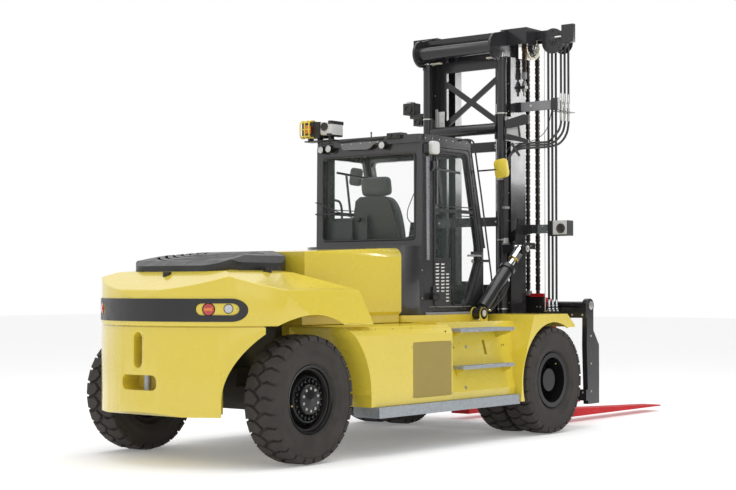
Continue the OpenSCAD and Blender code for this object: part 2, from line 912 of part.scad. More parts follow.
module outer_mast() {
  at_axle() color(black) {
    both() {
      // channel upright, open towards the middle
      difference() {
        box(262, 560, 420, mast_half, 260, outer_top);
        box(300, 522, 410, mast_half - 40, 250, outer_top + 10);
      }
      // ear for the pivot pin
      difference() {
        union() {
          box(160, 262, 420, 500, 400, 640);
          bar_y(mast_pin[0], mast_pin[1], 420, 500, 70);
        }
        bar_y(mast_pin[0], mast_pin[1], 410, 530, 40);
      }
      // shelf under the lift cylinder
      box(120, 262, 440, mast_half, 735, 760);
      // lugs and pin for the tilt cylinder
      box(90, 300, mast_half, 726, 1900, 1990);
      side_cut(712, 726)
        polygon([[90, 1900], [90, 2000], [150, 2270], [262, 2270], [262, 1900]]);
      bar_y(tilt_b[0], tilt_b[2], 712, 726, 62);
      bar_y(tilt_b[0], tilt_b[2], 828, 846, 62);
      box(200, 300, mast_half, 846, 1985, 2010);
      box(140, 300, 828, 846, 1940, 2010);
      bar_y(tilt_b[0], tilt_b[2], 712, 862, pin_r);
      bar_y(tilt_b[0], tilt_b[2], 846, 856, 38);
    }
    // lugs that hold the rear ends of the chains, each with its rod, nuts and clevis
    both() {
      box(wheel_x - chain_r - 30, wheel_x - chain_r + 30, mast_half, chain_y + 28, 3720, 3750);
      bar_z(wheel_x - chain_r, chain_y, 3640, 3840, 11);
      for (z = [3698, 3750]) {
        translate([wheel_x - chain_r, chain_y, z]) cylinder(r = 22, h = 22, $fn = 6);
      }
      box(wheel_x - chain_r - 16, wheel_x - chain_r + 16, chain_y - 21, chain_y + 21, 3830,
        chain_end);
    }
    // cross members behind the uprights
    bar_y(190, 3270, -440, 440, 62);
    both() box(150, 262, 421, 445, 3150, 3420);
    box(232, 262, -421, 421, 3020, 3130);
    box(232, 262, -421, 421, 1400, 1560);
    box(232, 262, -421, 421, 2200, 2300);
    box(300, 560, -421, 421, 262, 292);
  }
}

module lift_barrels() {
  at_axle() color(black) {
    both() {
      difference() {
        union() {
          bar_z(180, 500, 760, barrel_top, lift_r);
          bar_z(180, 500, barrel_top - 60, barrel_top - 12, lift_r + 8);
        }
        bar_z(180, 500, 1440, barrel_top + 1, 32.3);
      }
    }
  }
}

module lift_rods() {
  at_axle() color(steel) {
    both() bar_z(180, 500, 1460, rod_top, 32);
  }
}

module sensor_arms() {
  at_axle() color(black) {
    // low arm and head on the right
    cross_cut(262, 284)
      polygon([[-mast_half, 2135], [-701, 2207], [-838, 2207], [-838, 2114], [-722, 2090],
        [-mast_half, 2015]]);
    box(284, 400, -838, -790, 2114, 2207);
    box(360, 440, -975, -754, 2115, 2210);
    box(330, 470, -1223, -975, 2079, 2249);
    // high arm that carries the hose clamp
    box(400, 460, -1122, -mast_half, clamp_z - 49, clamp_z + 51);
    box(460, 700, -1122, -1097, clamp_z - 49, clamp_z + 51);
    difference() {
      box(480, 700, -1097, -1008, clamp_z - 70, clamp_z + 75);
      for (x = hose_x) {
        bar_z(x, hose_mid - hose_r, clamp_z, clamp_z + 80, 12.8);
      }
    }
    // bracket with two arms behind the right upright
    box(130, 262, -572, -554, 3120, 3390);
    cross_cut(130, 150) {
      polygon([[-556, 3340], [-556, 3270], [-610, 3256], [-869, 3288], [-874, 3381],
        [-812, 3394]]);
      polygon([[-556, 3140], [-556, 3190], [-610, 3193], [-737, 3158], [-868, 3114],
        [-868, 3079], [-599, 3131]]);
      polygon([[-728, 3275], [-746, 3275], [-766, 3150], [-746, 3150]]);
    }
    // heads on the left
    box(360, 440, mast_half, 900, 3480, 3530);
    box(330, 480, 820, 960, 3530, 3660);
    box(330, 480, 620, 760, 3400, 3480);
  }
}

module inner_mast() {
  at_axle() color(black) {
    both() {
      difference() {
        box(306, 516, 330, 500, 300, 4200);
        box(346, 476, 320, 460, 290, 4210);
      }
      // front rail of the inner upright
      box(516, 600, 330, 395, 300, 4200);
      // cheek plate with the flange of the top tube, notched over the lift cylinder
      difference() {
        union() {
          side_cut(470, 522)
            polygon([[tube_x, tube_z + 148], [262, 4350], [452, 4350], [452, 4200], [306, 4060],
              [240, 4060], [60, 4060]]);
          bar_y(tube_x, tube_z, 494, 522, 148);
        }
        box(112, 248, 460, 530, 3900, barrel_top + 8);
        bar_z(180, 500, 4000, rod_top, 32.3);
      }
      // head block over the chain wheel, with the cap of its axle
      box(260, 452, 430, 763, 4179, 4359);
      box(452, 702, 430, 763, wheel_z + 157, 4359);
      box(452, 640, 655, 763, 4262, wheel_z + 157);
      box(572, 644, 640, 655, wheel_z, wheel_z + 157);
      bar_y(wheel_x, wheel_z, 640, 655, 62);
      for (a = [0 : 60 : 359]) {
        translate([wheel_x, 0, wheel_z]) rotate([0, a, 0]) bar_y(46, 0, 655, 664, 7);
      }
    }
    bar_y(tube_x, tube_z, -500, 500, 72);
    // flat bar and beam over the tube
    box(110, 130, -494, 494, 4256, 4302);
    box(262, 300, -430, 430, 4200, 4340);
    box(306, 330, -340, 340, 3950, 4070);
    box(560, 600, -395, 395, 4100, 4200);
    box(560, 600, -395, 395, 300, 380);
    // crossed braces
    for (s = [-1, 1]) {
      translate([330, 0, 3598]) rotate([s * 34.4, 0, 0]) box(-20, 0, -410, 410, -32, 32);
    }
    // plates and axle of the hose wheels
    box(466, 478, hose_mid, -740, hose_z + 24, hose_z + 124);
    box(690, 702, hose_mid, -640, hose_z + 24, 4359);
    bar_x(466, 478, hose_mid, hose_z, 138);
    bar_x(690, 702, hose_mid, hose_z, 118);
    bar_x(478, 690, hose_mid, hose_z, 24);
    // box at the end of the axle
    box(450, 500, -1235, -1090, 4175, 4373);
  }
}

module mast_wheels() {
  at_axle() color(steel) {
    both() {
      translate([wheel_x, chain_y, wheel_z]) rotate([90, 0, 0]) rotate_extrude($fn = 64)
        polygon([[0, -38.7], [60, -38.7], [60, -35], [138, -35], [138, -29],
          [chain_r - chain_h / 2 - 0.4, -chain_w / 2 - 1],
          [chain_r - chain_h / 2 - 0.4, chain_w / 2 + 1], [138, 29], [138, 35], [0, 35]]);
    }
    translate([478.3, hose_mid, hose_z]) rotate([0, 90, 0]) rotate_extrude($fn = 64)
      difference() {
        translate([24.3, 0]) square([75.7, 211.4]);
        for (x = hose_x) {
          translate([hose_r - 13, x - 478.3 - 14]) square([40, 28]);
        }
      }
  }
}

// Half ring over a wheel, about the y axis, from z = 0 up
module over_wheel(r0, r1, y0, y1) {
  difference() {
    bar_y(0, 0, y0, y1, r1);
    bar_y(0, 0, y0 - 1, y1 + 1, r0);
    box(-400, 400, y0 - 2, y1 + 2, -400, 0);
  }
}

// Front strands with the stretch over the wheels
module lift_chains() {
  at_axle() color([0.3, 0.26, 0.22]) {
    both() {
      box(wheel_x + chain_r - chain_h / 2, wheel_x + chain_r + chain_h / 2,
        chain_y - chain_w / 2, chain_y + chain_w / 2, 1460, wheel_z + 0.5);
      translate([wheel_x, 0, wheel_z])
        over_wheel(chain_r - chain_h / 2, chain_r + chain_h / 2, chain_y - chain_w / 2,
          chain_y + chain_w / 2);
    }
  }
}

// Rear strands, held by the outer mast
module chain_tails() {
  at_axle() color([0.3, 0.26, 0.22]) {
    both() box(wheel_x - chain_r - chain_h / 2, wheel_x - chain_r + chain_h / 2,
      chain_y - chain_w / 2, chain_y + chain_w / 2, chain_end, wheel_z - 0.3);
  }
}

module lift_hoses() {
  at_axle() color(rubber) {
    for (x = hose_x) {
      bar_z(x, hose_mid + hose_r, 1326, hose_z, 12.5);
      difference() {
        translate([x, hose_mid, hose_z]) rotate([0, 90, 0]) rotate_extrude($fn = 64)
          translate([hose_r, 0]) circle(r = 12.5, $fn = 32);
        box(x - 20, x + 20, hose_mid - 120, hose_mid + 120, hose_z - 140, hose_z);
      }
    }
  }
}

module hose_tails() {
  at_axle() color(rubber) {
    for (x = hose_x) {
      bar_z(x, hose_mid - hose_r, clamp_z, hose_z - 0.3, 12.5);
    }
  }
}

module carriage() {
  at_axle() color(black) {
    difference() {
      union() {
        box(720, 800, -carr_half, carr_half, 1197, 1360);
        box(720, 800, -carr_half, carr_half, 300, 420);
        both() {
          box(640, 720, 290, 460, 400, 1600);
          // end plate with a round eye for the fork bar
          side_cut(carr_half - 60, carr_half)
            polygon([[745, 1290], [735, 900], [760, 300], [760, 262], [1000, 262],
              [1000, 400], [1000, 900], [880, 1060], [880, 1290]]);
          bar_y(812, 1330, carr_half - 60, carr_half, 78);
        }
        box(700, 730, -700, 700, 1240, 1460);
      }
      bar_y(812, 1330, -carr_half + 62, carr_half - 62, 94);
    }
    bar_y(812, 1330, -carr_half - 6, carr_half + 6, 45.8);
    // rollers in the inner mast
    both() {
      for (z = [450, 1480]) {
        bar_y(411, z, 323, 452, 60);
        box(381, 660, 292, 324, z - 30, z + 30);
      }
    }
    // hose fittings on a small shelf
    box(486, 721, hose_mid + hose_r - 16, hose_mid + hose_r + 16, 1240, 1270);
    for (x = hose_x) {
      bar_z(x, hose_mid + hose_r, 1270, 1326, 17);
    }
    // chain anchors
    both() box(715, 769, chain_y - 26, chain_y + 26, 1430, 1460);
  }
}

module fork(y) {
  difference() {
    union() {
      side_cut(y - fork_w / 2, y + fork_w / 2)
        polygon([[870, 1300], [870, 1100], [fork_face - fork_t, 900], [fork_face - fork_t, 60],
          [fork_face + 20, 60], [fork_face + fork_len, 60], [fork_face + fork_len, 75],
          [fork_face + 400, 60 + fork_t], [fork_face, 60 + fork_t], [fork_face, 1000],
          [900, 1300]]);
      bar_y(812, 1330, y - fork_w / 2, y + fork_w / 2, 88);
    }
    bar_y(812, 1330, y - fork_w, y + fork_w, 46.1);
  }
}

module fork_right() {
  at_axle() color(red) fork(-575);
}

module fork_left() {
  at_axle() color(red) fork(575);
}

/* Tilt cylinders */

module at_tilt() {
  translate(tilt_a) rotate([0, -tilt_ang, 0]) children();
}

module tilt_barrel() {
  at_tilt() {
    difference() {
      union() {
        bar_x(82, barrel_end - 20, 0, 0, tilt_r);
        bar_x(30, 82, 0, 0, 40);
        bar_y(0, 0, -42, 42, 58);
        bar_x(barrel_end - 52, barrel_end, 0, 0, tilt_r + 14);
      }
      bar_x(260, barrel_end + 10, 0, 0, 34.8);
    }
    bar_y(0, 0, -58, 70, 27.7);
  }
}

module tilt_rod() {
  at_tilt() {
    difference() {
      union() {
        bar_x(420, clevis_start + 10, 0, 0, 34.5);
        intersection() {
          bar_x(clevis_start, tilt_len, 0, 0, 56);
          box(clevis_start, tilt_len, -42, 42, -60, 60);
        }
        bar_y(tilt_len, 0, -42, 42, 56);
      }
      bar_y(tilt_len, 0, -60, 60, pin_r + eye_play);
    }
  }
}

module tilt_barrel_left() {
  at_axle() color(black) tilt_barrel();
}

module tilt_barrel_right() {
  right() tilt_barrel_left();
}

module tilt_rod_left() {
  at_axle() color(steel) tilt_rod();
}

module tilt_rod_right() {
  right() tilt_rod_left();
}

chassis_frame();
counterweight();
tail_hood();
tail_band();
tail_lamps();
cooling_cover();
rear_hood();
battery_pack();
side_panels();
side_grilles();
front_fenders();
side_steps();
cab_deck();
cab_base();
cab_pillars();
cab_roof();
cab_glass();
operator_seat();
seat_frame();
front_console();
steering_wheel();
mirror_rails();
mirror_heads();
roof_equipment();
tow_pin();
drive_axle();
steer_axle();
door_frame_right();
door_glass_right();
door_frame_left();
door_glass_left();
drive_tyres_right();
drive_rims_right();
drive_tyres_left();
drive_rims_left();
knuckle_right();
steer_tyre_right();
steer_hub_right();
knuckle_left();
steer_tyre_left();
steer_hub_left();
outer_mast();
lift_barrels();
sensor_arms();
inner_mast();
lift_rods();
mast_wheels();
lift_chains();
lift_hoses();
chain_tails();
hose_tails();
carriage();
fork_right();
fork_left();
tilt_barrel_right();
tilt_rod_right();
tilt_barrel_left();
tilt_rod_left();
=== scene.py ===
# %% [markdown]
# # A heavy electric forklift, dressed for its picture
#
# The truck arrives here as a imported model: every panel, wheel and mast section is already at its
# real size, and every moving piece already has its joint. What is left for this lesson is the
# look. Each cell adds one thing, and the text before it says what the thing is on the real truck,
# how it could be made in Blender, and why it was made this way.

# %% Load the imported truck
import json
import math

import bmesh
import bpy
from mathutils import Matrix, Vector


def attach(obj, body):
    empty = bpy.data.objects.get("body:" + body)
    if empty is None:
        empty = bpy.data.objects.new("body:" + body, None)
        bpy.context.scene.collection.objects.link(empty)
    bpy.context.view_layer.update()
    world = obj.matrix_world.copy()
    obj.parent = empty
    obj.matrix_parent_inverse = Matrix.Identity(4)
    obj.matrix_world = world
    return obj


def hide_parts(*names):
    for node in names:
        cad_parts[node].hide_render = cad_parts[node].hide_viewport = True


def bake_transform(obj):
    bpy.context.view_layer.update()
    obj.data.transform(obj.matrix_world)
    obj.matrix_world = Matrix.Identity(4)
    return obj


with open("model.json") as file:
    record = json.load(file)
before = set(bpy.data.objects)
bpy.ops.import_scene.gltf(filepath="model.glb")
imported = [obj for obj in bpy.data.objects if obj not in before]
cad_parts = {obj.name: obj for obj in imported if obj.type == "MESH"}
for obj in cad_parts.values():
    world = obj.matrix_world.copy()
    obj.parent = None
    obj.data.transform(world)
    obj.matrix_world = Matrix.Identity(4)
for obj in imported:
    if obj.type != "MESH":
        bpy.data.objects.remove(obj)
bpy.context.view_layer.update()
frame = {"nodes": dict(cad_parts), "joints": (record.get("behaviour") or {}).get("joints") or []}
nodes = frame["nodes"]
joints = {joint["name"]: joint for joint in frame["joints"]}

# %% [markdown]
# ## Places
#
# The drawings of a truck like this measure everything from the middle of the front axle. The
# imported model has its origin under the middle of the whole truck, so one small helper turns
# drawing millimetres into the metres of the scene. The axle's place comes from the wheel's own
# joint.

# %% One helper for places
axle_x = joints["drive_wheel_right_spin"]["pos_m"][0]
tyre_radius = joints["drive_wheel_right_spin"]["pos_m"][2]
steer_axle_x = joints["steer_right"]["pos_m"][0]


def at(x, y, z):
    """A place in millimetres, measured from the floor under the middle of the drive axle."""
    return Vector((axle_x + x / 1000, y / 1000, z / 1000))


print("drive axle", round(axle_x, 3), "steer axle", round(steer_axle_x, 3))

# %% [markdown]
# ## Camera
#
# The truck is seen from behind and from its right, from about the height of a standing person and
# from far away. A long lens at a distance keeps the wheels round and the lines nearly parallel; a
# short lens close by would swell the tail. So the camera is a 75 mm lens some fifteen metres off.

# %% Set up the camera
camera_place = at(-13852, -9736, 1516)
camera_turn = math.radians(38.35)
camera_tilt = math.radians(1.625)
looks_along = Vector((
    math.cos(camera_turn) * math.cos(camera_tilt),
    math.sin(camera_turn) * math.cos(camera_tilt),
    math.sin(camera_tilt),
))
camera_data = bpy.data.cameras.new("camera")
camera_data.lens = 75.2
camera_data.sensor_width = 36
camera_data.clip_end = 200
camera = bpy.data.objects.new("camera", camera_data)
camera.location = camera_place
camera.rotation_mode = "QUATERNION"
camera.rotation_quaternion = looks_along.to_track_quat("-Z", "Y")
bpy.context.scene.collection.objects.link(camera)
bpy.context.scene.camera = camera
print("camera at", [round(v, 2) for v in camera_place])

# %% [markdown]
# ## Node helpers
#
# The light of the room and every material here are small nets of nodes. Each helper adds one node
# and hands back its result, so that a net reads almost like a sentence.

# %% Helpers for nodes
def math_node(tree, operation, first, second):
    node = tree.nodes.new("ShaderNodeMath")
    node.operation = operation
    tree.links.new(first, node.inputs[0])
    tree.links.new(second, node.inputs[1])
    return node.outputs[0]


def noise(tree, place, scale, detail=3.0):
    node = tree.nodes.new("ShaderNodeTexNoise")
    node.inputs["Scale"].default_value = scale
    node.inputs["Detail"].default_value = detail
    tree.links.new(place, node.inputs["Vector"])
    return node.outputs["Fac"]


def spread(tree, value, low, high, start=0.3, end=0.7):
    """Stretches a value from start..end to low..high."""
    node = tree.nodes.new("ShaderNodeMapRange")
    node.inputs["From Min"].default_value = start
    node.inputs["From Max"].default_value = end
    node.inputs["To Min"].default_value = low
    node.inputs["To Max"].default_value = high
    tree.links.new(value, node.inputs["Value"])
    return node.outputs[0]


def mix_colours(tree, factor, first, second):
    node = tree.nodes.new("ShaderNodeMix")
    node.data_type = "RGBA"
    tree.links.new(factor, node.inputs[0])
    for socket, value in ((node.inputs[6], first), (node.inputs[7], second)):
        if isinstance(value, bpy.types.NodeSocket):
            tree.links.new(value, socket)
        else:
            socket.default_value = (*value, 1)
    return node.outputs[2]


def bump(tree, shader, height, distance, strength=1.0):
    node = tree.nodes.new("ShaderNodeBump")
    node.inputs["Distance"].default_value = distance
    node.inputs["Strength"].default_value = strength
    tree.links.new(height, node.inputs["Height"])
    tree.links.new(node.outputs[0], shader.inputs["Normal"])


print("node helpers ready")

# %% [markdown]
# ## Studio
#
# Product pictures are taken in a white room under very large soft lights. A world that is plain
# white to the camera gives the white room, while what it sends to the truck is weaker, so the two
# can be set apart. One wide lamp hangs overhead, as the long ceiling banks of a studio do, and one
# stands on the camera's side to open up the shaded flank. Glossy black needs something to mirror:
# a bright card in front and to the right draws light bands down the mast, and the rest of the room
# on that side is kept dark in reflections, as black cloths would.

# %% White room and lamps
ROOM_LIGHT = 0.78
# the way to look for the dark cloths
DARK_SIDE = (0.80, -0.60, 0.0)
bpy.context.scene.view_settings.view_transform = "Standard"
world = bpy.data.worlds.new("studio")
bpy.context.scene.world = world
world.use_nodes = True
tree = world.node_tree
background = tree.nodes["Background"]
background.inputs["Color"].default_value = (1, 1, 1, 1)
path = tree.nodes.new("ShaderNodeLightPath").outputs
seen = math_node(tree, "MAXIMUM", path["Is Camera Ray"], path["Is Transmission Ray"])
reflected = math_node(tree, "MAXIMUM", seen, path["Is Glossy Ray"])
room = spread(tree, reflected, ROOM_LIGHT, 1.0, 0, 1)
towards = tree.nodes.new("ShaderNodeVectorMath")
towards.operation = "DOT_PRODUCT"
towards.inputs[1].default_value = DARK_SIDE
tree.links.new(tree.nodes.new("ShaderNodeTexCoord").outputs["Generated"], towards.inputs[0])
cloth = spread(tree, towards.outputs["Value"], 0.0, 0.85, 0.3, 0.8)
dark = math_node(tree, "MULTIPLY", path["Is Glossy Ray"], cloth)
tree.links.new(math_node(tree, "SUBTRACT", room, dark), background.inputs["Strength"])


def area_light(name, place, target, width, height, power):
    """A flat lamp at place that faces target."""
    data = bpy.data.lights.new(name, "AREA")
    data.shape = "RECTANGLE"
    data.size = width
    data.size_y = height
    data.energy = power
    lamp = bpy.data.objects.new(name, data)
    lamp.location = place
    lamp.rotation_mode = "QUATERNION"
    lamp.rotation_quaternion = (Vector(target) - Vector(place)).to_track_quat("-Z", "Y")
    bpy.context.scene.collection.objects.link(lamp)
    return lamp


area_light("ceiling_bank", (-1, -1, 9), (0, 0, 0), 12, 7, 520)
area_light("side_bank", (-9, -11, 6), (0, 0, 1.4), 8, 5, 70)
card = area_light("reflector_card", (7.35, -4.1, 4.1), (7.35, 10, 4.1), 3.0, 2.0, 200)
for seen_by in ("camera", "diffuse", "transmission", "volume_scatter"):
    setattr(card, f"visible_{seen_by}", False)

# %% [markdown]
# ## Finishes
#
# Nothing on a truck is one flat colour. Paint has a faint ripple and a little variation, rubber is
# dusty, zinc shows its crystals. All finishes share one recipe: a slow noise shifts the colour and
# the gloss, and a fine noise raises tiny bumps. The recipe works from the position in space, so it
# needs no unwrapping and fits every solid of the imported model.

# %% The recipe for a finish
def start_material(name):
    """An empty material with its shader, and the position that its patterns are laid out by."""
    material = bpy.data.materials.new(name)
    material.use_nodes = True
    tree = material.node_tree
    place = tree.nodes.new("ShaderNodeTexCoord").outputs["Object"]
    return material, tree, tree.nodes["Principled BSDF"], place


def finish_recipe(name, colour, shifted, gloss, scale=1.5, grain=200.0, depth=0.0002, metal=0.0,
                  coat=0.0, specular=0.5):
    """A finish whose colour wanders from colour to shifted and whose roughness spans gloss."""
    material, tree, shader, place = start_material(name)
    cloud = noise(tree, place, scale)
    tree.links.new(mix_colours(tree, spread(tree, cloud, 0, 1), colour, shifted),
                   shader.inputs["Base Color"])
    tree.links.new(spread(tree, noise(tree, place, scale * 4), *gloss), shader.inputs["Roughness"])
    shader.inputs["Metallic"].default_value = metal
    shader.inputs["Specular IOR Level"].default_value = specular
    shader.inputs["Coat Weight"].default_value = coat
    shader.inputs["Coat Roughness"].default_value = 0.08
    bump(tree, shader, noise(tree, place, grain, 2.0), depth)
    return material


print("recipe ready")

# %% [markdown]
# Most of the truck is four finishes: yellow paint under a clear coat, glossy black paint on the
# mast and cab, grained black plastic, and bare or plated steel. They differ only in the numbers.

# %% Paint, plastic and metal
yellow_paint = finish_recipe("yellow_paint", (0.73, 0.575, 0.055), (0.69, 0.54, 0.045),
                             (0.22, 0.32), 0.8, 90, 0.00025, coat=0.7)
black_paint = finish_recipe("black_paint", (0.018, 0.017, 0.019), (0.026, 0.025, 0.027),
                            (0.17, 0.26), 1.5, 160, 0.0001, coat=0.25, specular=0.35)
rim_black = finish_recipe("rim_black", (0.009, 0.009, 0.010), (0.013, 0.013, 0.014),
                          (0.14, 0.22), 1.5, 160, 0.0001, specular=0.3)
cab_black = finish_recipe("cab_black", (0.022, 0.022, 0.024), (0.030, 0.030, 0.033),
                          (0.20, 0.30), 1.2, 60, 0.0001, coat=0.45)
cast_black = finish_recipe("cast_black", (0.020, 0.019, 0.018), (0.034, 0.032, 0.030),
                           (0.45, 0.65), 3, 60, 0.0012)
black_plastic = finish_recipe("black_plastic", (0.013, 0.013, 0.014), (0.019, 0.019, 0.020),
                              (0.32, 0.48), 2, 700, 0.0002)
bright_rod = finish_recipe("bright_rod", (0.80, 0.81, 0.83), (0.70, 0.71, 0.73),
                           (0.08, 0.16), 6, 300, 0.00003, metal=1)
zinc_bolt = finish_recipe("zinc_bolt", (0.60, 0.60, 0.58), (0.48, 0.47, 0.44),
                          (0.28, 0.45), 20, 500, 0.0001, metal=1)
machine_grey = finish_recipe("machine_grey", (0.25, 0.25, 0.26), (0.20, 0.20, 0.21),
                             (0.4, 0.55), 3, 120, 0.0003)
pale_plastic = finish_recipe("pale_plastic", (0.62, 0.62, 0.61), (0.54, 0.54, 0.53),
                             (0.35, 0.5), 5, 300, 0.0002)
fork_red = finish_recipe("fork_red", (0.60, 0.018, 0.022), (0.50, 0.014, 0.018),
                         (0.48, 0.60), 1.5, 120, 0.0003, specular=0.2)
hose_rubber = finish_recipe("hose_rubber", (0.020, 0.020, 0.021), (0.032, 0.031, 0.030),
                            (0.42, 0.60), 8, 900, 0.0003)
grille_yellow = finish_recipe("guard_yellow", (0.75, 0.60, 0.05), (0.66, 0.50, 0.04),
                              (0.3, 0.45), 6, 200, 0.0002)
print("finishes:", len(bpy.data.materials))

# %% [markdown]
# Some finishes carry a pattern of their own. Hot-dip zinc grows flat crystals that each catch the
# light differently, which a Voronoi texture gives directly. Tyre rubber is dull brown-black with
# fine dust. The air grille is a thin sheet punched with rows of small round holes, too many to
# model, so a dot pattern sinks each hole and fills it with dark brown painted shade.

# %% Zinc, rubber, punched sheet
def zinc_material():
    material, tree, shader, place = start_material("galvanised")
    crystals = tree.nodes.new("ShaderNodeTexVoronoi")
    crystals.inputs["Scale"].default_value = 70
    tree.links.new(place, crystals.inputs["Vector"])
    patch = tree.nodes.new("ShaderNodeSeparateColor")
    tree.links.new(crystals.outputs["Color"], patch.inputs[0])
    facet = patch.outputs[0]
    tree.links.new(mix_colours(tree, spread(tree, facet, 0, 1, 0, 1), (0.30, 0.33, 0.36),
                               (0.42, 0.45, 0.48)), shader.inputs["Base Color"])
    tree.links.new(spread(tree, facet, 0.34, 0.52, 0, 1), shader.inputs["Roughness"])
    shader.inputs["Metallic"].default_value = 0.55
    bump(tree, shader, noise(tree, place, 60), 0.0006)
    return material


def rubber_material():
    material, tree, shader, place = start_material("tyre_rubber")
    dust = noise(tree, place, 9, 6)
    tree.links.new(mix_colours(tree, spread(tree, dust, 0, 1, 0.35, 0.75), (0.034, 0.030, 0.027),
                               (0.056, 0.049, 0.044)), shader.inputs["Base Color"])
    tree.links.new(spread(tree, dust, 0.60, 0.85), shader.inputs["Roughness"])
    shader.inputs["Specular IOR Level"].default_value = 0.3
    bump(tree, shader, noise(tree, place, 160, 4), 0.0009)
    return material


def punched_material():
    material, tree, shader, place = start_material("punched_sheet")
    holes = tree.nodes.new("ShaderNodeTexVoronoi")
    holes.inputs["Scale"].default_value = 95
    holes.inputs["Randomness"].default_value = 0
    skewed = tree.nodes.new("ShaderNodeMapping")
    skewed.inputs["Rotation"].default_value = (0, math.radians(45), 0)
    skewed.inputs["Scale"].default_value = (1, 0, 1)
    tree.links.new(place, skewed.inputs["Vector"])
    tree.links.new(skewed.outputs[0], holes.inputs["Vector"])
    hole = spread(tree, holes.outputs["Distance"], 1, 0, 0.28, 0.36)
    # painted shade: each hole is coloured dark brown for the shaded hollow behind the sheet
    tree.links.new(mix_colours(tree, hole, (0.46, 0.35, 0.07), (0.05, 0.035, 0.01)),
                   shader.inputs["Base Color"])
    tree.links.new(spread(tree, noise(tree, place, 12), 0.4, 0.6), shader.inputs["Roughness"])
    bump(tree, shader, holes.outputs["Distance"], 0.002)
    return material


galvanised = zinc_material()
tyre_rubber = rubber_material()
punched_sheet = punched_material()
print("patterned finishes:", galvanised.name, tyre_rubber.name, punched_sheet.name)

# %% [markdown]
# Cab glass is tinted a soft green. It is thin and flat, so it needs no bending of light: a mostly
# clear shader with a sharp gloss lets lamps shine through to the seat and keeps the render quick.
# Lamp lenses are deep coloured plastic, and the seat is a woven cloth.

# %% Glass, lenses and cloth
def glass_material():
    material, tree, shader, place = start_material("tinted_glass")
    haze = noise(tree, place, 2, 4)
    tree.links.new(mix_colours(tree, spread(tree, haze, 0, 1), (0.56, 0.68, 0.65),
                               (0.62, 0.73, 0.70)), shader.inputs["Base Color"])
    tree.links.new(spread(tree, haze, 0.02, 0.06), shader.inputs["Roughness"])
    shader.inputs["Alpha"].default_value = 0.025
    shader.inputs["Specular IOR Level"].default_value = 0.8
    return material


def lens_material(name, colour, deeper, glow=0.0):
    material, tree, shader, place = start_material(name)
    ribs = tree.nodes.new("ShaderNodeTexVoronoi")
    ribs.inputs["Scale"].default_value = 120
    tree.links.new(place, ribs.inputs["Vector"])
    tree.links.new(mix_colours(tree, spread(tree, ribs.outputs["Distance"], 0, 1, 0, 0.6), colour,
                               deeper), shader.inputs["Base Color"])
    shader.inputs["Roughness"].default_value = 0.12
    shader.inputs["Coat Weight"].default_value = 1.0
    shader.inputs["Emission Color"].default_value = (*colour, 1)
    shader.inputs["Emission Strength"].default_value = glow
    bump(tree, shader, ribs.outputs["Distance"], 0.001)
    return material


def cloth_material():
    material, tree, shader, place = start_material("seat_cloth")
    threads = tree.nodes.new("ShaderNodeTexWave")
    threads.inputs["Scale"].default_value = 260
    threads.inputs["Distortion"].default_value = 1.2
    tree.links.new(place, threads.inputs["Vector"])
    worn = noise(tree, place, 14, 4)
    tree.links.new(mix_colours(tree, spread(tree, worn, 0, 1), (0.030, 0.036, 0.038),
                               (0.052, 0.060, 0.062)), shader.inputs["Base Color"])
    tree.links.new(spread(tree, worn, 0.75, 0.95), shader.inputs["Roughness"])
    shader.inputs["Sheen Weight"].default_value = 0.35
    bump(tree, shader, threads.outputs["Fac"], 0.0006)
    return material


tinted_glass = glass_material()
red_lens = lens_material("red_lens", (0.62, 0.02, 0.015), (0.30, 0.01, 0.01), 0.15)
amber_lens = lens_material("amber_lens", (0.80, 0.22, 0.02), (0.45, 0.10, 0.01), 0.2)
clear_lens = lens_material("clear_lens", (0.80, 0.81, 0.82), (0.42, 0.43, 0.45))
seat_cloth = cloth_material()
print("materials in all:", len(bpy.data.materials))

# %% [markdown]
# ## Dressing the solids
#
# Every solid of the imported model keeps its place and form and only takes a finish. A table from
# finish to solids keeps that in one place, and a check at the end makes sure none was forgotten.

# %% Give each solid its finish
SIDES = {"right": -1, "left": 1}


def pair(name):
    return [f"{name}_{side}" for side in SIDES]


FINISH_OF = (
    (yellow_paint, ["counterweight", "tail_hood", "rear_hood", "side_panels", "front_fenders",
                    "cab_deck", "mirror_heads"]),
    (black_paint, ["chassis_frame", "outer_mast", "inner_mast", "sensor_arms", "carriage",
                   "lift_barrels", "seat_frame", *pair("tilt_barrel")]),
    (cab_black, ["cab_base", "cab_pillars", "cab_roof", "mirror_rails", *pair("door_frame")]),
    (rim_black, pair("drive_rims") + pair("steer_hub")),
    (cast_black, ["drive_axle", "steer_axle", *pair("knuckle")]),
    (black_plastic, ["tail_band", "cooling_cover", "front_console", "steering_wheel",
                     "roof_equipment"]),
    (galvanised, ["side_steps", "tow_pin"]),
    (bright_rod, ["lift_rods", *pair("tilt_rod")]),
    (tyre_rubber, pair("drive_tyres") + pair("steer_tyre")),
    (hose_rubber, ["lift_hoses", "hose_tails"]),
    (machine_grey, ["battery_pack", "mast_wheels", "lift_chains", "chain_tails"]),
    (tinted_glass, ["cab_glass", *pair("door_glass")]),
    (fork_red, pair("fork")),
    (punched_sheet, ["side_grilles"]),
    (red_lens, ["tail_lamps"]),
    (seat_cloth, ["operator_seat"]),
)


for material, names in FINISH_OF:
    for node in names:
        slots = nodes[node].data.materials
        slots.clear()
        slots.append(material)
bare = sorted(set(nodes) - {node for _, names in FINISH_OF for node in names})
print("solids without a finish:", bare)

# %% [markdown]
# Pressed and cast edges are never knife sharp, and the thin bright line along an edge is what
# makes metal look solid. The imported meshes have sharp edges, so two modifiers are laid over the
# painted ones: Weld closes the seams between faces, and Bevel rounds every edge a few millimetres.

